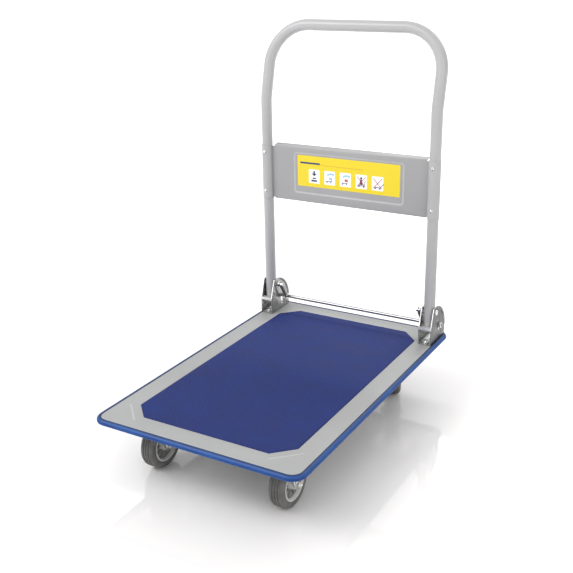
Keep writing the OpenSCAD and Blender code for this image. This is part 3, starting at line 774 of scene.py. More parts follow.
# %% Bumper strip
def strip_tree(finish):
    """Path edges in, a strip with the section of the Profile object out."""
    tree, start, end = new_tree("strip_round_rim", Profile="Object")
    path = tree.nodes.new("GeometryNodeMeshToCurve")
    upright = tree.nodes.new("GeometryNodeSetCurveNormal")
    upright.mode = "Z_UP"
    shape = tree.nodes.new("GeometryNodeObjectInfo")
    sweep = tree.nodes.new("GeometryNodeCurveToMesh")
    wire(tree, (start, "Geometry", path, "Mesh"), (path, "Curve", upright, "Curve"),
         (start, "Profile", shape, "Object"), (upright, "Curve", sweep, "Curve"),
         (shape, "Geometry", sweep, "Profile Curve"))
    return end_tree(tree, sweep, "Mesh", end, finish)


rim_path = rectangle(half_x, half_y, DECK_CORNER, 10)
rim_edges = [(i, (i + 1) % len(rim_path)) for i in range(len(rim_path))]
rim_points = [(p.x, p.y, 0) for p in rim_path]
bumper = grown("bumper", rim_points, rim_edges, strip_tree(bumper_rubber), {"Profile": profile})
bpy.data.objects.remove(profile)
close_up(bumper, 40)
fit(bumper, "deck", "bumper_rubber", "bumper_strip")

# %% [markdown]
# ## The tube handle
# One steel tube goes up one side, leans back above the panel, turns over the top in two wide bends and
# comes down the other side. The path is worked out from the same bend radii as the CAD tube, the sweep
# tree draws the skin, and Solidify gives the tube its wall, so that its lower ends are open.

# %% Tube path
KINK_R, TOP_R, UPPER_L = 60 * MM, 93.4 * MM, 169 * MM
kink_z = tube_high.z - TUBE_R - UPPER_L * math.cos(LEAN) + 0.03 * MM
lean_up = Vector((0, math.sin(LEAN), math.cos(LEAN)))
tangent = KINK_R * math.tan(LEAN / 2)


def side_path(side):
    """One upright from its lower end to the middle of the top bar."""
    path = [Vector((side * tube_x, tube_y, z)) for z in (tube_low.z, pin_z + 0.02, kink_z - tangent - 1 * MM)]
    for k in range(7):
        a = LEAN * k / 6
        y, z = tube_y + KINK_R * (1 - math.cos(a)), kink_z - tangent + KINK_R * math.sin(a)
        path.append(Vector((side * tube_x, y, z)))
    kink = Vector((side * tube_x, tube_y, kink_z))
    bend = kink + lean_up * (UPPER_L - TOP_R) - Vector((side * TOP_R, 0, 0))
    path.append(kink + lean_up * (UPPER_L - TOP_R - 1 * MM))
    for k in range(25):
        a = math.radians(90 * k / 24)
        path.append(bend + Vector((side * TOP_R * math.cos(a), 0, 0)) + lean_up * (TOP_R * math.sin(a)))
    return path


handle_path = side_path(-1) + list(reversed(side_path(1)))
print("the tube's path has", len(handle_path), "points")

# %% [markdown]
# ### The tube's wall
# The swept skin is turned so that its faces point outwards, and only then gets its wall, because the wall
# is made on the inner side.

# %% Tube handle
handle_bar = bar_along("handle_bar", [handle_path], TUBE_R, handle_paint, sides=40, caps=False, sharp=50)
close_up(handle_bar, 50)
first_face = handle_bar.data.polygons[0]
if first_face.normal.dot(first_face.center - Vector((-tube_x, tube_y, tube_low.z))) < 0:
    handle_bar.data.flip_normals()
thicken(handle_bar, TUBE_WALL, even=False)
settle(handle_bar, 50)
fit(handle_bar, "handle", "handle_paint", "handle_tube")

# %% [markdown]
# ## The panel
# The panel is one sheet between the uprights: a flat face with a shallow pressed recess for the label,
# a flange turned back along its top and bottom, and ends curled round the front of the tubes. The outer
# skin is drawn first, in the same way as the deck, and Solidify gives it its 1.2 mm.

# %% Panel face
PANEL_SHEET = 1.2 * MM
CURL_R = TUBE_R + 0.05 * MM + PANEL_SHEET
PANEL_H, PRESS_UP = 130 * MM, 69 * MM
PRESS_HALF_W, PRESS_H, PRESS_D = 138 * MM, 94 * MM, 1.1 * MM
FLANGE_BEND, FLANGE_GAP = 3 * MM, 4 * MM
face_x = tube_x - CURL_R
flange_x = face_x - FLANGE_GAP
panel_z0 = panel_low.z
panel_z1 = panel_z0 + PANEL_H
press_z = panel_z0 + PRESS_UP

sheet = bmesh.new()


def panel_ring(outline, y):
    return [sheet.verts.new((p[0], y, p[1])) for p in outline]


low, high = panel_z0 + FLANGE_BEND, panel_z1 - FLANGE_BEND
border_xz = [(-face_x, low), (-flange_x, low), (flange_x, low), (face_x, low),
             (face_x, high), (flange_x, high), (-flange_x, high), (-face_x, high)]
rim = panel_ring(border_xz, tube_y)
pressed = []
for shrink, depth in ((0, 0), (0.7, 0.08), (1.8, 0.45), (3.2, 0.92), (4.0, 1.0)):
    half_w, half_h = PRESS_HALF_W + (2 - shrink) * MM, PRESS_H / 2 + (2 - shrink) * MM
    outline = [(p.x, p.y + press_z) for p in rectangle(half_w, half_h, (8 - shrink) * MM, 5)]
    pressed.append(panel_ring(outline, tube_y + PRESS_D * depth))
for outer, inner in zip(pressed, pressed[1:]):
    bridge(sheet, outer, inner)
sheet.faces.new(pressed[-1])
flat_between(sheet, rim, pressed[0])
print("the panel's face is", round(2 * face_x / MM, 1), "mm wide")

# %% [markdown]
# ### Flanges
# A sheet's free edge is turned back so that it is stiff and doesn't cut. The fold has a 3 mm radius, and
# the flange at the top slopes a little, which gives its bright line.


# %% Flanges
def flange(left, right, end_z, up, depth, slope):
    """Turns the sheet back along the edge between two vertices of the rim."""
    centre_z = end_z - up * FLANGE_BEND
    stop = math.pi / 2 + slope
    points = []
    for k in range(1, 7):
        a = stop * k / 6
        points.append((tube_y + FLANGE_BEND * (1 - math.cos(a)), centre_z + up * FLANGE_BEND * math.sin(a)))
    run_y, run_z = math.sin(stop), up * math.cos(stop)
    rest = depth - FLANGE_BEND
    points.append((points[-1][0] + run_y * rest, points[-1][1] + run_z * rest))
    row = [left, right]
    for y, z in points:
        fresh = [sheet.verts.new((v.co.x, y, z)) for v in (left, right)]
        sheet.faces.new((row[0], row[1], fresh[1], fresh[0]))
        row = fresh


flange(rim[6], rim[5], panel_z1, 1, 18 * MM, -math.radians(12))
flange(rim[1], rim[2], panel_z0, -1, 14 * MM, 0)
print("the skin has", len(sheet.faces), "faces so far")

# %% [markdown]
# ### Curled ends
# Each end runs round the front half of its tube and a little way back beside it. The rows share their
# heights with the face's edge, so that doubles merge into one closed skin. The pressed walls and the
# curled ends get lighter coats than the flat face, as painted highlight where they catch the light.

# %% Curled ends
for side in (-1, 1):
    levels = (panel_z0, low, high, panel_z1)
    rows = []
    for k in range(17):
        a = math.pi * k / 16
        x, y = side * (tube_x - CURL_R * math.cos(a)), tube_y - CURL_R * math.sin(a)
        rows.append([sheet.verts.new((x, y, z)) for z in levels])
    tail = [sheet.verts.new((rows[-1][0].co.x, tube_y + PANEL_SHEET, z)) for z in levels]
    for before, after in zip(rows, rows[1:] + [tail]):
        for k in range(3):
            sheet.faces.new((before[k], after[k], after[k + 1], before[k + 1]))
bmesh.ops.remove_doubles(sheet, verts=sheet.verts, dist=WELD)
face_towards(sheet, 1, -1)
panel_sheet = piece_of("panel_sheet", sheet, panel_paint)
thicken(panel_sheet, PANEL_SHEET)
soften(panel_sheet, 0.3 * MM, 60)
settle(panel_sheet, 30)
# Painted highlight: the curled ends take the tube's lighter coat and the recess walls the lightest coat.
panel_sheet.data.materials.append(handle_paint)
panel_sheet.data.materials.append(wall_highlight_coat)
for face in panel_sheet.data.polygons:
    middle, lean = face.center, abs(face.normal.x) + abs(face.normal.z)
    beside = abs(middle.x) < PRESS_HALF_W + 2 * MM and abs(middle.z - press_z) < PRESS_H / 2 + 2 * MM
    pressed_wall = beside and 0.02 < lean < 0.9
    face.material_index = 1 if abs(middle.x) > face_x + 1 * MM else 2 * int(pressed_wall)
fit(panel_sheet, "handle", "handle_paint", "handle_panel")

# %% [markdown]
# ## The label
# The label is a thin yellow sheet with plain marks: five white tiles with simple signs about load and
# folding, a dark bar and a thin line. Each mark is a flat plate a few hundredths of a millimetre proud
# of the one under it, as a thick print is, and the plates' materials are the inks. No words are shown.

# %% Label plates
label_low, label_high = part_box("panel_label")
LABEL_T, INK_T = 0.3 * MM, 0.04 * MM
label_face = tube_y + PRESS_D - LABEL_T
label_z = (label_low.z + label_high.z) / 2
YELLOW, WHITE, BLUE, PALE, RED, BROWN = range(6)
print_points, print_faces, print_inks = [], [], []


def plate(outline, layer, which):
    """A thin prism on the label's face; outline points are (x, z) in millimetres from the label's middle."""
    outline = [Vector(p) for p in outline]
    if sum(p.x * q.y - q.x * p.y for p, q in zip(outline, outline[1:] + outline[:1])) < 0:
        outline.reverse()
    front = label_face - layer * INK_T
    back = label_face + (0.28 * MM if layer == 0 else 0.01 * MM)
    first, count = len(print_points), len(outline)
    for y in (front, back):
        print_points.extend((p.x * MM, y, label_z + p.y * MM) for p in outline)
    print_faces.append(tuple(range(first, first + count)))
    print_faces.append(tuple(range(first + 2 * count - 1, first + count - 1, -1)))
    for i in range(count):
        j = (i + 1) % count
        print_faces.append((first + j, first + i, first + count + i, first + count + j))
    print_inks.extend([which] * (count + 2))


def block(x, z, width, height, layer, which, turn=0.0):
    spin = Matrix.Rotation(math.radians(turn), 2)
    w, h = width / 2, height / 2
    plate([Vector((x, z)) + spin @ Vector(c) for c in ((-w, -h), (w, -h), (w, h), (-w, h))], layer, which)


print("the label's face is", round((tube_y + PRESS_D - label_face) / MM, 2), "mm proud of the recess")

# %% [markdown]
# ### Shapes for the signs
# The signs are made of a few shapes: discs, curved strokes for a fold, rounded tiles, and a little cart
# seen from the side.


# %% Shapes for the signs
def around(x, z, radius, angles):
    return [(x + radius * math.cos(a), z + radius * math.sin(a)) for a in angles]


def disc(x, z, radius, layer, which):
    plate(around(x, z, radius, [math.radians(360 * k / 14) for k in range(14)]), layer, which)


def tile(x, z, half_w, half_h, radius, steps, layer, which):
    outline = rectangle(half_w * MM, half_h * MM, radius * MM, steps)
    plate([(x + p.x * 1000, z + p.y * 1000) for p in outline], layer, which)


def swing(x, z, radius, width, start, stop, layer, which):
    """A curved stroke, for a fold."""
    span = [math.radians(start + (stop - start) * k / 10) for k in range(11)]
    outer = around(x, z, radius + width / 2, span)
    plate(outer + around(x, z, radius - width / 2, reversed(span)), layer, which)


def little_cart(x, z, size, which, lean=12, layer=2):
    """A side view of a folding cart: platform, two wheels and a handle."""
    block(x, z, 14 * size, 1.6 * size, layer, which)
    disc(x - 5 * size, z - 2.2 * size, 1.5 * size, layer, which)
    disc(x + 5 * size, z - 2.2 * size, 1.5 * size, layer, which)
    rise = math.radians(lean)
    handle_x, handle_z = x + 6.5 * size + 5 * size * math.sin(rise), z + 5 * size * math.cos(rise)
    block(handle_x, handle_z, 1.3 * size, 11 * size, layer, which, -lean)


print("plates so far:", len(print_faces))

# %% [markdown]
# ### The signs
# Five tiles stand in a row on the yellow ground. The first shows a load on a platform, the next two a
# handle that folds, and the last two, crossed out, say what not to do.

# %% Label marks
tile(0, 0, 130, 36.5, 1.5, 3, 0, YELLOW)
block(-97, 19.2, 52, 4.2, 1, BLUE)
block(-14, 16.8, 108, 1.0, 1, BROWN)
TILE_Z = -11
tile_x = [-86 + 40.4 * k for k in range(5)]
for x in tile_x:
    tile(x, TILE_Z, 14, 16.3, 1.2, 2, 1, WHITE)
first, fold, press, stand, tilt = tile_x
block(first, TILE_Z + 9.5, 4.6, 6, 2, BLUE)
plate([(first - 7, TILE_Z + 6.6), (first + 7, TILE_Z + 6.6), (first, TILE_Z + 0.6)], 2, BLUE)
block(first, TILE_Z - 4.4, 9, 3.2, 2, BLUE)
block(first, TILE_Z - 10.4, 15, 4.2, 2, BLUE)
for x, mark in ((fold, PALE), (press, RED)):
    little_cart(x - 2, TILE_Z - 8, 1.0, BLUE)
    swing(x + 4, TILE_Z - 7, 16.5, 4.2, 62, 128, 2, PALE)
    disc(x + 1.5, TILE_Z - 1.5, 3.4, 2, mark)
for x in (stand, tilt):
    little_cart(x, TILE_Z - 9, 1.15, BLUE, 12 if x == stand else 38)
disc(stand - 0.5, TILE_Z + 8.2, 2.6, 2, BLUE)
plate([(stand - 5, TILE_Z - 7), (stand + 4, TILE_Z - 7), (stand + 1.4, TILE_Z + 5.4),
       (stand - 2.6, TILE_Z + 5.4)], 2, BLUE)
for x in (stand, tilt):
    for turn in (47, -47):
        block(x, TILE_Z, 31, 1.5, 3, RED, turn)

label_print = make_piece("label_print", print_points, print_faces)
for finish in inks:
    label_print.data.materials.append(finish)
label_print.data.polygons.foreach_set("material_index", print_inks)
fit(label_print, "handle", "label_vinyl", "panel_label")

# %% [markdown]
# ## Brackets, forks and channels
# These are pressed steel, and their CAD shape is right. Only their edges are too sharp: a real pressing
# has edges rounded by a few tenths of a millimetre, and they catch the light. So each is a copy of its
# CAD node, merged and freed of the triangles inside its flat faces, with a small bevel.


# %% Copies with rounded edges
def rounded_copy(node, finish, edge, body):
    mesh = frame["nodes"][node].data.copy()
    work = bmesh.new()
    work.from_mesh(mesh)
    bmesh.ops.remove_doubles(work, verts=work.verts, dist=3e-6)
    bmesh.ops.dissolve_limit(work, angle_limit=math.radians(0.6), verts=work.verts, edges=work.edges)
    work.to_mesh(mesh)
    work.free()
    mesh.materials.clear()
    mesh.materials.append(finish)
    for polygon in mesh.polygons:
        polygon.material_index = 0
    piece = show(node + "_pressed", mesh)
    soften(piece, edge, 40)
    settle(piece, 30)
    return fit(piece, body, "zinc_plate", node)


brackets = {}
for side in ("left", "right"):
    brackets[side] = rounded_copy("bracket_" + side, zinc, 0.35 * MM, "deck")
    rounded_copy("fixed_fork_" + side, fork_zinc, 0.35 * MM, "deck")
    rounded_copy("swivel_head_" + side, fork_zinc, 0.5 * MM, "deck")
    rounded_copy("swivel_fork_" + side, fork_zinc, 0.35 * MM, "swivel_" + side)

# %% [markdown]
# ### The brackets' faces
# A bracket's faces differ: its outer cheek and raised band take a darker zinc, as painted shade, while
# the strap that stops the handle and the front edges take a nearly white zinc, as painted highlight.
# Each face takes its plating from where it lies and which way it faces.

# %% Brackets
STRAP_LOW, STRAP_HIGH = deck_top + 35 * MM, deck_top + 42.5 * MM
for side, way in (("left", -1), ("right", 1)):
    bracket = brackets[side]
    bracket.data.materials.append(zinc_painted_shade)
    bracket.data.materials.append(zinc_painted_highlight)
    for face in bracket.data.polygons:
        from_tube = abs(face.center.x - way * tube_x)
        outer = face.center.x * way > tube_x + 15.4 * MM and face.normal.x * way > 0.8
        strap = STRAP_LOW < face.center.z < STRAP_HIGH and face.center.y < tube_y - TUBE_R - 0.3 * MM
        front = face.normal.y < -0.8 and from_tube > 13 * MM
        # Painted shade on the outer cheek and raised band, painted highlight on the strap and front faces.
        dull = outer or from_tube > 15.7 * MM
        face.material_index = 2 if (strap and abs(face.normal.x) < 0.5) or front else int(dull)
    counts = [sum(face.material_index == k for face in bracket.data.polygons) for k in range(3)]
    print(bracket.name, "has", counts, "faces in zinc, painted-shade zinc and painted-highlight zinc")

# %% [markdown]
# ### Nodes that keep their CAD shape
# The channels, bushes and plugs are hardly seen, and their CAD shape is right. They only take a finish,
# which is linked to the object and not to its mesh, so the mesh stays untouched.

# %% CAD nodes that only take a finish
for node, finish in (("cross_channels", deck_paint), ("side_channels", deck_paint),
                     ("handle_bushes", bright_steel), ("tube_plugs", plug_plastic)):
    carried = frame["nodes"][node]
    for slot in carried.material_slots:
        slot.link = "OBJECT"
        slot.material = finish
    print(node, "keeps its CAD shape")

# %% [markdown]
# ## Bolts, nuts and screws
# A fastener is modelled once, standing on the origin and pointing up Z, and Geometry Nodes set it out at
# every place where the real cart has one. The places are points that carry a turn as an attribute, so a
# single tree serves nuts under the deck, axle nuts on a swivelled wheel and screws on the tubes.


# %% The setting-out tree
def fastener_tree(finish):
    """Points with a turn in, one instance of the Fastener object on each out, as real mesh."""
    tree, start, end = new_tree("fasteners_on_points", Fastener="Object")
    master = tree.nodes.new("GeometryNodeObjectInfo")
    turn = tree.nodes.new("GeometryNodeInputNamedAttribute")
    turn.data_type = "FLOAT_VECTOR"
    turn.inputs["Name"].default_value = "turn"
    rotate = tree.nodes.new("FunctionNodeEulerToRotation")
    scatter = tree.nodes.new("GeometryNodeInstanceOnPoints")
    wire(tree, (start, "Fastener", master, "Object"), (start, "Geometry", scatter, "Points"),
         (master, "Geometry", scatter, "Instance"), (turn, "Attribute", rotate, "Euler"),
         (rotate, "Rotation", scatter, "Rotation"))
    return end_tree(tree, scatter, "Instances", end, finish)


def set_out(name, master, spots, finish, sharp=35):
    """One piece with the master on each spot, a (place, direction, turn about it) triple."""
    turns = [Vector(direction).to_track_quat("Z", "Y") @ Matrix.Rotation(spin, 3, "Z").to_quaternion()
             for _, direction, spin in spots]
    places = [place for place, _, _ in spots]
    return grown(name, places, (), fastener_tree(finish), {"Fastener": master}, turns, sharp)


print("the setting-out tree takes a Fastener and reads each point's turn")

# %% [markdown]
# ### Turned and hexagonal shapes
# Bolts, nuts, washers and wheels are all bodies turned about an axis, so one function makes them from a
# profile of (radius, height) pairs. A hexagon is the same thing with some rings pulled out to six corners.

# %% Turned and hexagonal shapes
def turned(profile, sides=32, hexed=()):
    """Points and faces of a body turned about Z from (radius, height) pairs. The rings whose numbers are in
    hexed are hexagons across that radius, and a radius of 0 closes the body with a point."""
    points, faces, rings = [], [], []
    for number, (radius, height) in enumerate(profile):
        first = len(points)
        if radius == 0:
            points.append((0, 0, height))
            rings.append([first] * sides)
            continue
        for k in range(sides):
            a = 2 * math.pi * k / sides
            from_flat = (a + math.pi / 6) % (math.pi / 3) - math.pi / 6 if number in hexed else 0
            reach = radius / math.cos(from_flat)
            points.append((reach * math.cos(a), reach * math.sin(a), height))
        rings.append(list(range(first, first + sides)))
    for lower, upper in zip(rings, rings[1:]):
        for k in range(sides):
            j = (k + 1) % sides
            quad = list(dict.fromkeys((lower[k], lower[j], upper[j], upper[k])))
            if len(quad) > 2:
                faces.append(tuple(quad))
    return points, faces


print("a plain cylinder has", len(turned([(0, 0), (1, 0), (1, 1), (0, 1)])[1]), "faces")

# %% [markdown]
# ### Parts of a fastener
# A nut has a chamfered top, a bolt's end shows a few ridges of thread, and a washer has soft edges. These
# profiles are in millimetres, and `master_part` puts several of them together.


# %% Parts of a fastener
FASTENER_SIDES = 24


def master_part(name, *profiles):
    """A fastener of one or more turned bodies; a profile may come with its hex rings."""
    points, faces = [], []
    for profile in profiles:
        shape, hexed = profile if isinstance(profile[0], list) else (profile, ())
        new_points, new_faces = turned([(r * MM, h * MM) for r, h in shape], FASTENER_SIDES, hexed)
        faces += [tuple(i + len(points) for i in face) for face in new_faces]
        points += new_points
    piece = make_piece(name, points, faces, bright_steel)
    close_up(piece)
    return piece


def hex_body(across, base, height):
    """A hexagon with a chamfer at its top, as a turned profile with hexagonal rings."""
    half = across / 2
    top = base + height
    chamfer = [(half, top - 1.0), (half - 0.25, top - 0.12), (half - 0.7, top)]
    return [(0, base), (half, base), *chamfer, (0, top)], (1, 2)


def bolt_end(radius, base, length):
    """The threaded end of a bolt: fine ridges and a chamfered tip."""
    profile, z = [(0, base), (radius, base)], base
    while z + 1.0 < base + length - 0.8:
        profile += [(radius, z + 0.35), (radius - 0.35, z + 0.65), (radius, z + 1.0)]
        z += 1.0
    return profile + [(radius, base + length - 0.8), (radius - 0.8, base + length), (0, base + length)]


def washer(radius, base, thick):
    top, soft = base + thick, 0.2
    rim = [(radius - soft, base), (radius, base + soft), (radius, top - soft), (radius - soft, top)]
    return [(0, base), *rim, (0, top)]


axle_nut = master_part("axle_nut", washer(7.6, 0, 1.2), hex_body(13, 1.2, 6.5), bolt_end(4, 7.6, 2.6))
axle_head = master_part("axle_head", hex_body(13, 0, 5.0))
print("an axle nut has", len(axle_nut.data.polygons), "faces")

# %% [markdown]
# ### Axles
# Each wheel turns on a bolt with a head on one side of the fork and a nut on the other. The wheel's place
# is the middle of its hub's box, and its direction is the axis of its own joint.

# %% Axles
wheels = {}
for end in ("front", "rear"):
    for side in ("left", "right"):
        low_corner, high_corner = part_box(f"hub_{end}_{side}")
        axis = Vector(joint[f"roll_{end}_{side}"]["axis"]).normalized()
        wheels[end, side] = ((low_corner + high_corner) / 2, axis)

HUB_HALF, LEG_GAP, LEG_T = 17 * MM, 0.6 * MM, 2.5 * MM
LEG_OUT = HUB_HALF + LEG_GAP + LEG_T


def axle(name, spots, body, *nodes):
    """Axle bolts through wheel centres: spots are (centre, direction of the nut)."""
    rod = master_part("rod", [(0, -20.6), (4, -20.6), (4, 20.6), (0, 20.6)])
    shafts = set_out(name + "_shafts", rod, [(c, d, 0) for c, d in spots], bright_steel)
    heads = set_out(name + "_heads", axle_head, [(c - d * LEG_OUT, -d, 0.2) for c, d in spots], bright_steel)
    nuts = set_out(name, axle_nut, [(c + d * LEG_OUT, d, 0.35) for c, d in spots], bright_steel)
    bpy.data.objects.remove(rod)
    join_into(nuts, heads, shafts)
    fit(nuts, body, "bright_hardware", *nodes)


axle("front_axle_bolts", [wheels["front", side] for side in ("left", "right")], "deck", "front_axles")
for side in ("left", "right"):
    centre, axis = wheels["rear", side]
    axle(f"rear_axle_bolt_{side}", [(centre, -axis)], "swivel_" + side, "rear_axle_" + side)
for master in (axle_nut, axle_head):
    bpy.data.objects.remove(master)

# %% [markdown]
# ### Mounting bolts of the casters
# Four bolts with domed heads hold each caster plate. The heads lie on top of the sheet and the nuts under
# the plate, so one fastener is set out pointing up and the other pointing down on the same spots.

# %% Mounting bolts of the casters
SHEET_UP, NUT_DROP = 4.5 * MM, 3.7 * MM
caster = wheels["front", "right"][0]
rear_y = joint["swivel_turn_left"]["pos_m"][1]
plate_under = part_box("caster_bolts")[0].z + 6.5 * MM
plate_spots = [Vector((side * caster.x + a * 35 * MM, y + b * 27 * MM, plate_under))
               for side in (-1, 1) for y in (caster.y, rear_y) for a in (-1, 1) for b in (-1, 1)]
lifted = [(p + Vector((0, 0, SHEET_UP)), (0, 0, 1), 0) for p in plate_spots]
under_nut = master_part("under_nut", hex_body(13, 0, 5.5), bolt_end(4, 5.4, 1.1))
top_head = master_part("top_head", [(0, -0.2), (6.0, -0.2), (6.4, 0.3), (6.2, 2.0), (4.8, 3.3), (0, 3.5)],
                       [(0, -4.6), (4, -4.6), (4, 0), (0, 0)])
nuts = set_out("caster_bolts_set", under_nut, [(p, (0, 0, -1), 0.3) for p in plate_spots], bright_steel)
join_into(nuts, set_out("caster_bolt_heads", top_head, lifted, bright_steel))
fit(nuts, "deck", "bright_hardware", "caster_bolts")
bpy.data.objects.remove(top_head)

# %% [markdown]
# ### Mounting bolts of the brackets
# Two hexagon bolts with washers hold each bracket to the deck. They are seen from above, so they have a
# full head, and they take the same nut below.

# %% Mounting bolts of the brackets
stand_low, stand_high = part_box("bracket_bolts")
stand_ys = (stand_low.y + 7.5 * MM, stand_high.y - 7.5 * MM)
stand_spots = [Vector((side * tube_x, y, deck_top + 2.2 * MM)) for side in (-1, 1) for y in stand_ys]
lowered = [(p - Vector((0, 0, NUT_DROP)), (0, 0, -1), 0.1) for p in stand_spots]
stand_head = master_part("stand_head", washer(7, 0, 1.0), hex_body(13, 1.0, 4.0),
                         [(0, -8), (4, -8), (4, 0.5), (0, 0.5)])
heads = set_out("bracket_bolts_set", stand_head, [(p, (0, 0, 1), 0.25) for p in stand_spots], bright_steel)
join_into(heads, set_out("bracket_nuts", under_nut, lowered, bright_steel))
fit(heads, "deck", "bright_hardware", "bracket_bolts")
for master in (under_nut, stand_head):
    bpy.data.objects.remove(master)

# %% [markdown]
# ### Hinge pins
# The handle turns on two long bolts, one in each bracket, with a domed head outside and a nut inside.
# Shank, head and nut are three turned bodies of one fastener, set out once on each side.

# %% Hinge pins
CHEEK_OUT = 15.5
pin_end, pin_under = -CHEEK_OUT - 17, CHEEK_OUT - 0.1
pin_master = master_part(
    "pin_master", [(0, pin_end), (3.4, pin_end), (4, pin_end + 0.6), (4, CHEEK_OUT), (0, CHEEK_OUT)],
    [(0, pin_under), (6.6, pin_under), (6.6, CHEEK_OUT + 1.2), (6.1, CHEEK_OUT + 2.6),
     (4.4, CHEEK_OUT + 3.7), (0, CHEEK_OUT + 4)],
    hex_body(12.2, -CHEEK_OUT - 6.5, 6.5))
pin_spots = [(Vector((s * tube_x, tube_y, pin_z)), (s, 0, 0), 0) for s in (-1, 1)]
pins = set_out("hinge_pins_set", pin_master, pin_spots, bright_steel)
fit(pins, "deck", "bright_hardware", "hinge_pins")
bpy.data.objects.remove(pin_master)

# %% [markdown]
# ### Panel screws
# Four small pan-head screws hold the panel's curled ends to the tubes. They stand on the front of the
# curl, and the dimple in each head is two more points of its profile.

# %% Panel screws
screw_low, screw_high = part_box("panel_screws")
screw_zs = (screw_low.z + 3.5 * MM, screw_high.z - 3.5 * MM)
screw = master_part("screw", [(0, -2), (1.7, -2), (1.7, 0), (3.5, 0), (3.6, 0.5), (3.2, 1.3), (2.3, 1.85),
                              (1.2, 2.0), (0.9, 1.3), (0, 1.2)])
screw_spots = [(Vector((s * tube_x, tube_y - CURL_R, z)), (0, -1, 0), 0) for s in (-1, 1) for z in screw_zs]
screws = set_out("panel_screws_set", screw, screw_spots, bright_steel)
fit(screws, "handle", "bright_hardware", "panel_screws")
bpy.data.objects.remove(screw)

# %% [markdown]
# ## The foot bar and its springs
# The chromed bar runs through slots in both brackets. It is a turned body with chamfered ends, laid
# along X. Its ends are mirrored from one half of the profile.

# %% Foot bar
bar_reach = bar_high.x
BAR_R, BAR_CHAMFER = 4 * MM, 0.7 * MM
bar_half = [(0, bar_reach), (BAR_R - BAR_CHAMFER, bar_reach), (BAR_R, bar_reach - BAR_CHAMFER)]
bar_profile = [(r, -x) for r, x in bar_half] + bar_half[::-1]
bar_rod = make_piece("foot_bar_rod", *turned(bar_profile, 40), chrome)
bar_rod.data.transform(Matrix.Translation((0, bar_y, bar_z)) @ Matrix.Rotation(math.pi / 2, 4, "Y"))
close_up(bar_rod)
fit(bar_rod, "foot_bar", "bar_chrome", "release_bar")

# %% [markdown]
# ### Nuts and clips of the foot bar
# A nut with a washer sits on each end of the bar outside the bracket, and two thin clips inside keep
# each spring in its place. A clip is a ring, so its profile ends where it starts.

# %% Nuts and clips of the foot bar
nut_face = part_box("bar_nuts")[1].x - 4 * MM
bar_nut = master_part("bar_nut", hex_body(13, 0, 4.0), washer(7.4, -0.7, 0.9))
nut_spots = [(Vector((s * nut_face, bar_y, bar_z)), (s, 0, 0), 0.1) for s in (-1, 1)]
fit(set_out("bar_nuts_set", bar_nut, nut_spots, bright_steel), "foot_bar", "bright_hardware", "bar_nuts")
spring_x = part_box("bar_clips")[1].x - 5.8 * MM
clip = master_part("clip", [(3.9, -0.6), (6.5, -0.6), (6.8, -0.3), (6.8, 0.3), (6.5, 0.6), (3.9, 0.6),
                            (3.9, -0.6)])
clip_xs = [s * spring_x + k * 5.2 * MM for s in (-1, 1) for k in (-1, 1)]
clip_spots = [(Vector((x, bar_y, bar_z)), (1, 0, 0), 0) for x in clip_xs]
fit(set_out("bar_clips_set", clip, clip_spots, bright_steel), "foot_bar", "bright_hardware", "bar_clips")
for master in (bar_nut, clip):
    bpy.data.objects.remove(master)

# %% [markdown]
# ### The return springs
# Each is a close-wound coil with a hook round the hinge pin and one round the bar.

# %% Springs
WIRE_R, COIL_R, HOOK_R, TURNS = 0.7 * MM, 3.3 * MM, 5.1 * MM, 23
NECK = HOOK_R + 1.2 * MM


def spring_path(x):
    top, foot = Vector((x, tube_y, pin_z)), Vector((x, bar_y, bar_z))
    down = (foot - top).normalized()
    side = Vector((1, 0, 0))
    back = down.cross(side)
    length = (foot - top).length - 2 * NECK
    path = []
    for k in range(25):
        a = math.radians(300 - 300 * k / 24)
        path.append(top + HOOK_R * (down * math.cos(a) + back * math.sin(a)))
    steps = TURNS * 14
    for k in range(1, steps):
        a, share = 2 * math.pi * k / 14, k / steps
        radius = COIL_R * min(1, share * TURNS * 1.5, (1 - share) * TURNS * 1.5)
        centre = top + down * (NECK + length * share)
        path.append(centre + radius * (side * math.sin(a) + back * math.cos(a)))
    for k in range(25):
        a = math.radians(300 * k / 24)
        path.append(foot - HOOK_R * (down * math.cos(a) + back * math.sin(a)))
    return path


spring_paths = [spring_path(s * spring_x) for s in (-1, 1)]
# The springs take the darker zinc, a painted shade.
springs = bar_along("return_springs_wound", spring_paths, WIRE_R, zinc_painted_shade, 8, sharp=60)
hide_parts("return_springs")
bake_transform(springs)
print("springs:", len(springs.data.polygons), "faces")

# %% [markdown]
# ## The wheels
# A wheel is a grey rubber tyre on a light plastic centre. Both are turned bodies, so each is a profile
# turned about the axle: the tyre's with rounded shoulders and grooves round its tread, the centre's with
# a rim, a thin web and a boss. The web between rim and boss is painted darker than the rest of the
# centre, as painted shade in its recess.


# %% Tyres and centres
def at_wheel(piece, centre, axis):
    """Turns a body modelled about Z onto the axle and puts it at the wheel's centre."""
    turn = axis.to_track_quat("Z", "Y").to_matrix().to_4x4()
    piece.data.transform(Matrix.Translation(centre) @ turn)


def both_sides(half):
    """A closed profile from half of one, (radius, across) in millimetres, mirrored to the other side."""
    other = [(r, -w) for r, w in reversed(half) if w]
    return [(r * MM, w * MM) for r, w in half + other + half[:1]]


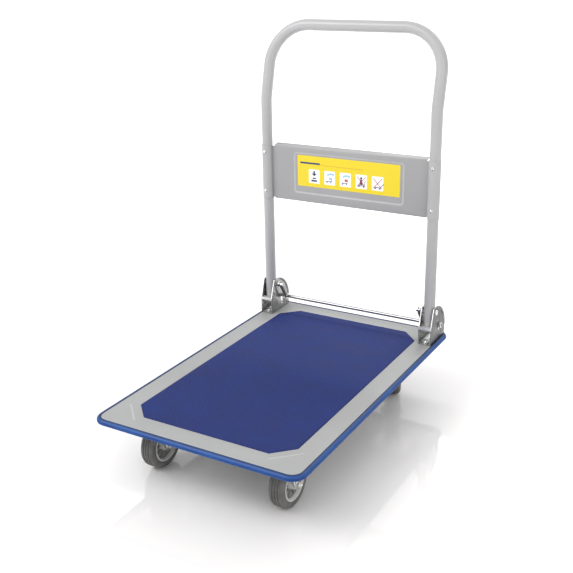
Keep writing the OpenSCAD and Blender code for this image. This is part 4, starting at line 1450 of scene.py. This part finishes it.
tyre_half = [
    (36.0, 14.5), (37.2, 16.0), (39.5, 16.5), (43.0, 16.2), (46.0, 15.2), (48.2, 13.4), (49.4, 11.2),
    (49.8, 9.0), (49.9, 7.6), (48.5, 7.2), (48.3, 6.0), (48.5, 4.8), (49.96, 4.4), (49.96, 1.5),
    (48.6, 1.1), (48.4, 0.0)]
centre_half = [
    (4.1, 17.0), (11.2, 17.0), (12.0, 16.4), (12.6, 9.0), (14.0, 5.6), (17.0, 4.2), (27.0, 3.8),
    (29.5, 5.0), (31.0, 8.5), (31.6, 14.4), (32.4, 15.3), (35.2, 15.3), (36.0, 14.6)]
WEB_FROM, WEB_TO = 13.4 * MM, 31.2 * MM
for (end, side), (centre, axis) in wheels.items():
    body = f"wheel_{end}_{side}"
    tyre = make_piece(f"tyre_{end}_{side}_grooved", *turned(both_sides(tyre_half), 96), tyre_rubber)
    at_wheel(tyre, centre, axis)
    close_up(tyre, 40)
    fit(tyre, body, "tyre_rubber", f"tyre_{end}_{side}")
    hub = make_piece(f"centre_{end}_{side}", *turned(both_sides(centre_half), 72), hub_plastic)
    at_wheel(hub, centre, axis)
    close_up(hub, 40)
    # Painted shade: the web between rim and boss takes the darker plastic.
    hub.data.materials.append(shaded_web_plastic)
    for face in hub.data.polygons:
        out = face.center - centre
        face.material_index = int(WEB_FROM < (out - axis * out.dot(axis)).length < WEB_TO)
    fit(hub, body, "hub_plastic", f"hub_{end}_{side}")

# %% [markdown]
# ### Ribs on the web
# Ten ribs on each side stiffen the thin web, as on moulded wheels. One rib is made at the origin, and the
# setting-out tree puts it round the axle, each copy turned to point outwards.

# %% Web ribs
RIBS, RIB_OUT, RIB_FOOT = 10, 21.5 * MM, 3.4 * MM
rib_section = [(-9.2, -0.9), (9.2, -1.1), (9.2, 1.1), (-9.2, 0.9)]
rib_points = [(x * MM, y * MM, z * MM) for z in (0, 5.2) for x, y in rib_section]
rib_faces = [(3, 2, 1, 0), (4, 5, 6, 7), (0, 1, 5, 4), (1, 2, 6, 5), (2, 3, 7, 6), (3, 0, 4, 7)]
for (end, side), (centre, axis) in wheels.items():
    rib = make_piece("web_rib", rib_points, rib_faces, shaded_web_plastic)
    close_up(rib)
    face = axis.to_track_quat("Z", "Y")
    spots = []
    for direction in (1, -1):
        for k in range(RIBS):
            a = 2 * math.pi * k / RIBS
            out = face @ Vector((math.cos(a), math.sin(a), 0))
            frame_turn = Matrix((out, (axis * direction).cross(out), axis * direction)).transposed()
            spots.append((centre + out * RIB_OUT + axis * direction * RIB_FOOT, frame_turn))
    places, turns = zip(*spots)
    ribs = grown(f"web_ribs_{end}_{side}", places, (), fastener_tree(shaded_web_plastic), {"Fastener": rib}, turns)
    bpy.data.objects.remove(rib)
    fit(ribs, f"wheel_{end}_{side}", "hub_plastic")

# %% [markdown]
# ## The floor
# The cart stands on a plain pale floor with a soft gloss, which mirrors the wheels faintly. Far from the
# cart the floor gives off a little light of its own, so that it runs into the white room without an edge.

# %% Floor
FLOOR, GLOW, GLOW_FROM, GLOW_TO = 30, 0.75, 0.9, 2.6
floor_finish, nodes, links, shader = bare_finish("studio_floor", Specular_IOR_Level=1.0, Roughness=0.05)
haze = grain(nodes, links, 1.5, 2.0)
stone = tones(nodes, links, haze, (0.3, (0.85, 0.835, 0.83, 1)), (0.7, (0.88, 0.868, 0.862, 1)))
links.new(stone, shader.inputs["Base Color"])
spot = nodes.new("ShaderNodeTexCoord")
distance = nodes.new("ShaderNodeVectorMath")
distance.operation = "LENGTH"
links.new(spot.outputs["Object"], distance.inputs[0])
glow = spread(nodes, links, distance.outputs["Value"], 0.0, GLOW, GLOW_FROM, GLOW_TO)
links.new(glow, shader.inputs["Emission Strength"])
shader.inputs["Emission Color"].default_value = (1, 1, 1, 1)
floor_corners = [(-FLOOR, -FLOOR, 0), (FLOOR, -FLOOR, 0), (FLOOR, FLOOR, 0), (-FLOOR, FLOOR, 0)]
floor = make_piece("floor", floor_corners, [(0, 1, 2, 3)], floor_finish)
print("the floor is", 2 * FLOOR, "m wide and starts to glow", GLOW_FROM, "m from the middle")

# %% [markdown]
# ## Light
# A big soft light hangs over the left front, a weaker one fills from the right, one rims the handle from
# behind and one lights the floor at the back. Large lights give soft shadows and broad highlights.


# %% Lights
def soft_light(name, place, target, size, power):
    lamp = bpy.data.lights.new(name, "AREA")
    lamp.shape, lamp.size, lamp.size_y, lamp.energy = "RECTANGLE", size[0], size[1], power
    light = bpy.data.objects.new(name, lamp)
    light.location = place
    light.rotation_euler = (Vector(target) - Vector(place)).to_track_quat("-Z", "Y").to_euler()
    scene.collection.objects.link(light)
    print(name, "light:", power, "W")


soft_light("key", (-1.6, -1.8, 2.6), (0, 0, 0.3), (2.2, 1.6), 62)
soft_light("fill", (2.6, -1.4, 1.5), (0, 0, 0.4), (1.8, 1.8), 18)
soft_light("rim", (0.4, 2.4, 2.2), (0, 0, 0.5), (2.4, 1.2), 22)
soft_light("far floor", (-1.3, 2.0, 2.1), (-1.4, 3.4, 0), (4.5, 1.4), 90)

# %% [markdown]
# ## The room
# A white world lights the rest. Plated steel needs something dark to mirror, so the world has a dark
# band above the horizon. It shows in reflections only: what the camera sees directly is plain white.

# %% World
world = bpy.data.worlds.new("studio")
scene.world = world
world.use_nodes = True
nodes, links = world.node_tree.nodes, world.node_tree.links
background = nodes["Background"]
sky = nodes.new("ShaderNodeTexCoord")
split = nodes.new("ShaderNodeSeparateXYZ")
links.new(sky.outputs["Generated"], split.inputs["Vector"])
DARK = (0.16, 0.16, 0.17, 1)
band = tones(nodes, links, split.outputs["Z"], (0.0, grey(1)), (0.06, grey(1)), (0.12, DARK), (0.26, DARK),
             (0.38, grey(0.85)), (1.0, grey(1)))
ray = nodes.new("ShaderNodeLightPath")
seen = nodes.new("ShaderNodeMix")
seen.data_type = "RGBA"
links.new(ray.outputs["Is Camera Ray"], seen.inputs[0])
links.new(band, seen.inputs[6])
seen.inputs[7].default_value = grey(1)
links.new(seen.outputs[2], background.inputs["Color"])
background.inputs["Strength"].default_value = 1.0
scene.view_settings.view_transform = "Standard"
print("the room's band is", DARK[0], "as bright as its walls")

# %% [markdown]
# ## The camera
# It stands to the right front and looks down a little, with a slightly long lens. Its three axes are
# worked out from the azimuth, the elevation and the roll, and become the columns of its matrix.

# %% Camera
AZIMUTH, ELEVATION, ROLL = math.radians(30.513), math.radians(20.427), math.radians(-1.136)
lens = bpy.data.cameras.new("camera")
lens.sensor_width, lens.lens, lens.clip_start, lens.clip_end = 36, 56.48, 0.01, 100
camera = bpy.data.objects.new("camera", lens)
scene.collection.objects.link(camera)
level = math.cos(ELEVATION)
back = Vector((math.sin(AZIMUTH) * level, -math.cos(AZIMUTH) * level, math.sin(ELEVATION)))
right = (-back).cross(Vector((0, 0, 1))).normalized()
up = back.cross(right)
rolled_right = right * math.cos(ROLL) + up * math.sin(ROLL)
rolled_up = up * math.cos(ROLL) - right * math.sin(ROLL)
camera.matrix_world = Matrix((rolled_right, rolled_up, back)).transposed().to_4x4()
camera.location = (0.8959, -1.5150, 0.9861)
scene.camera = camera
print("the camera is", round(camera.location.length, 2), "m from the cart's middle on the floor")
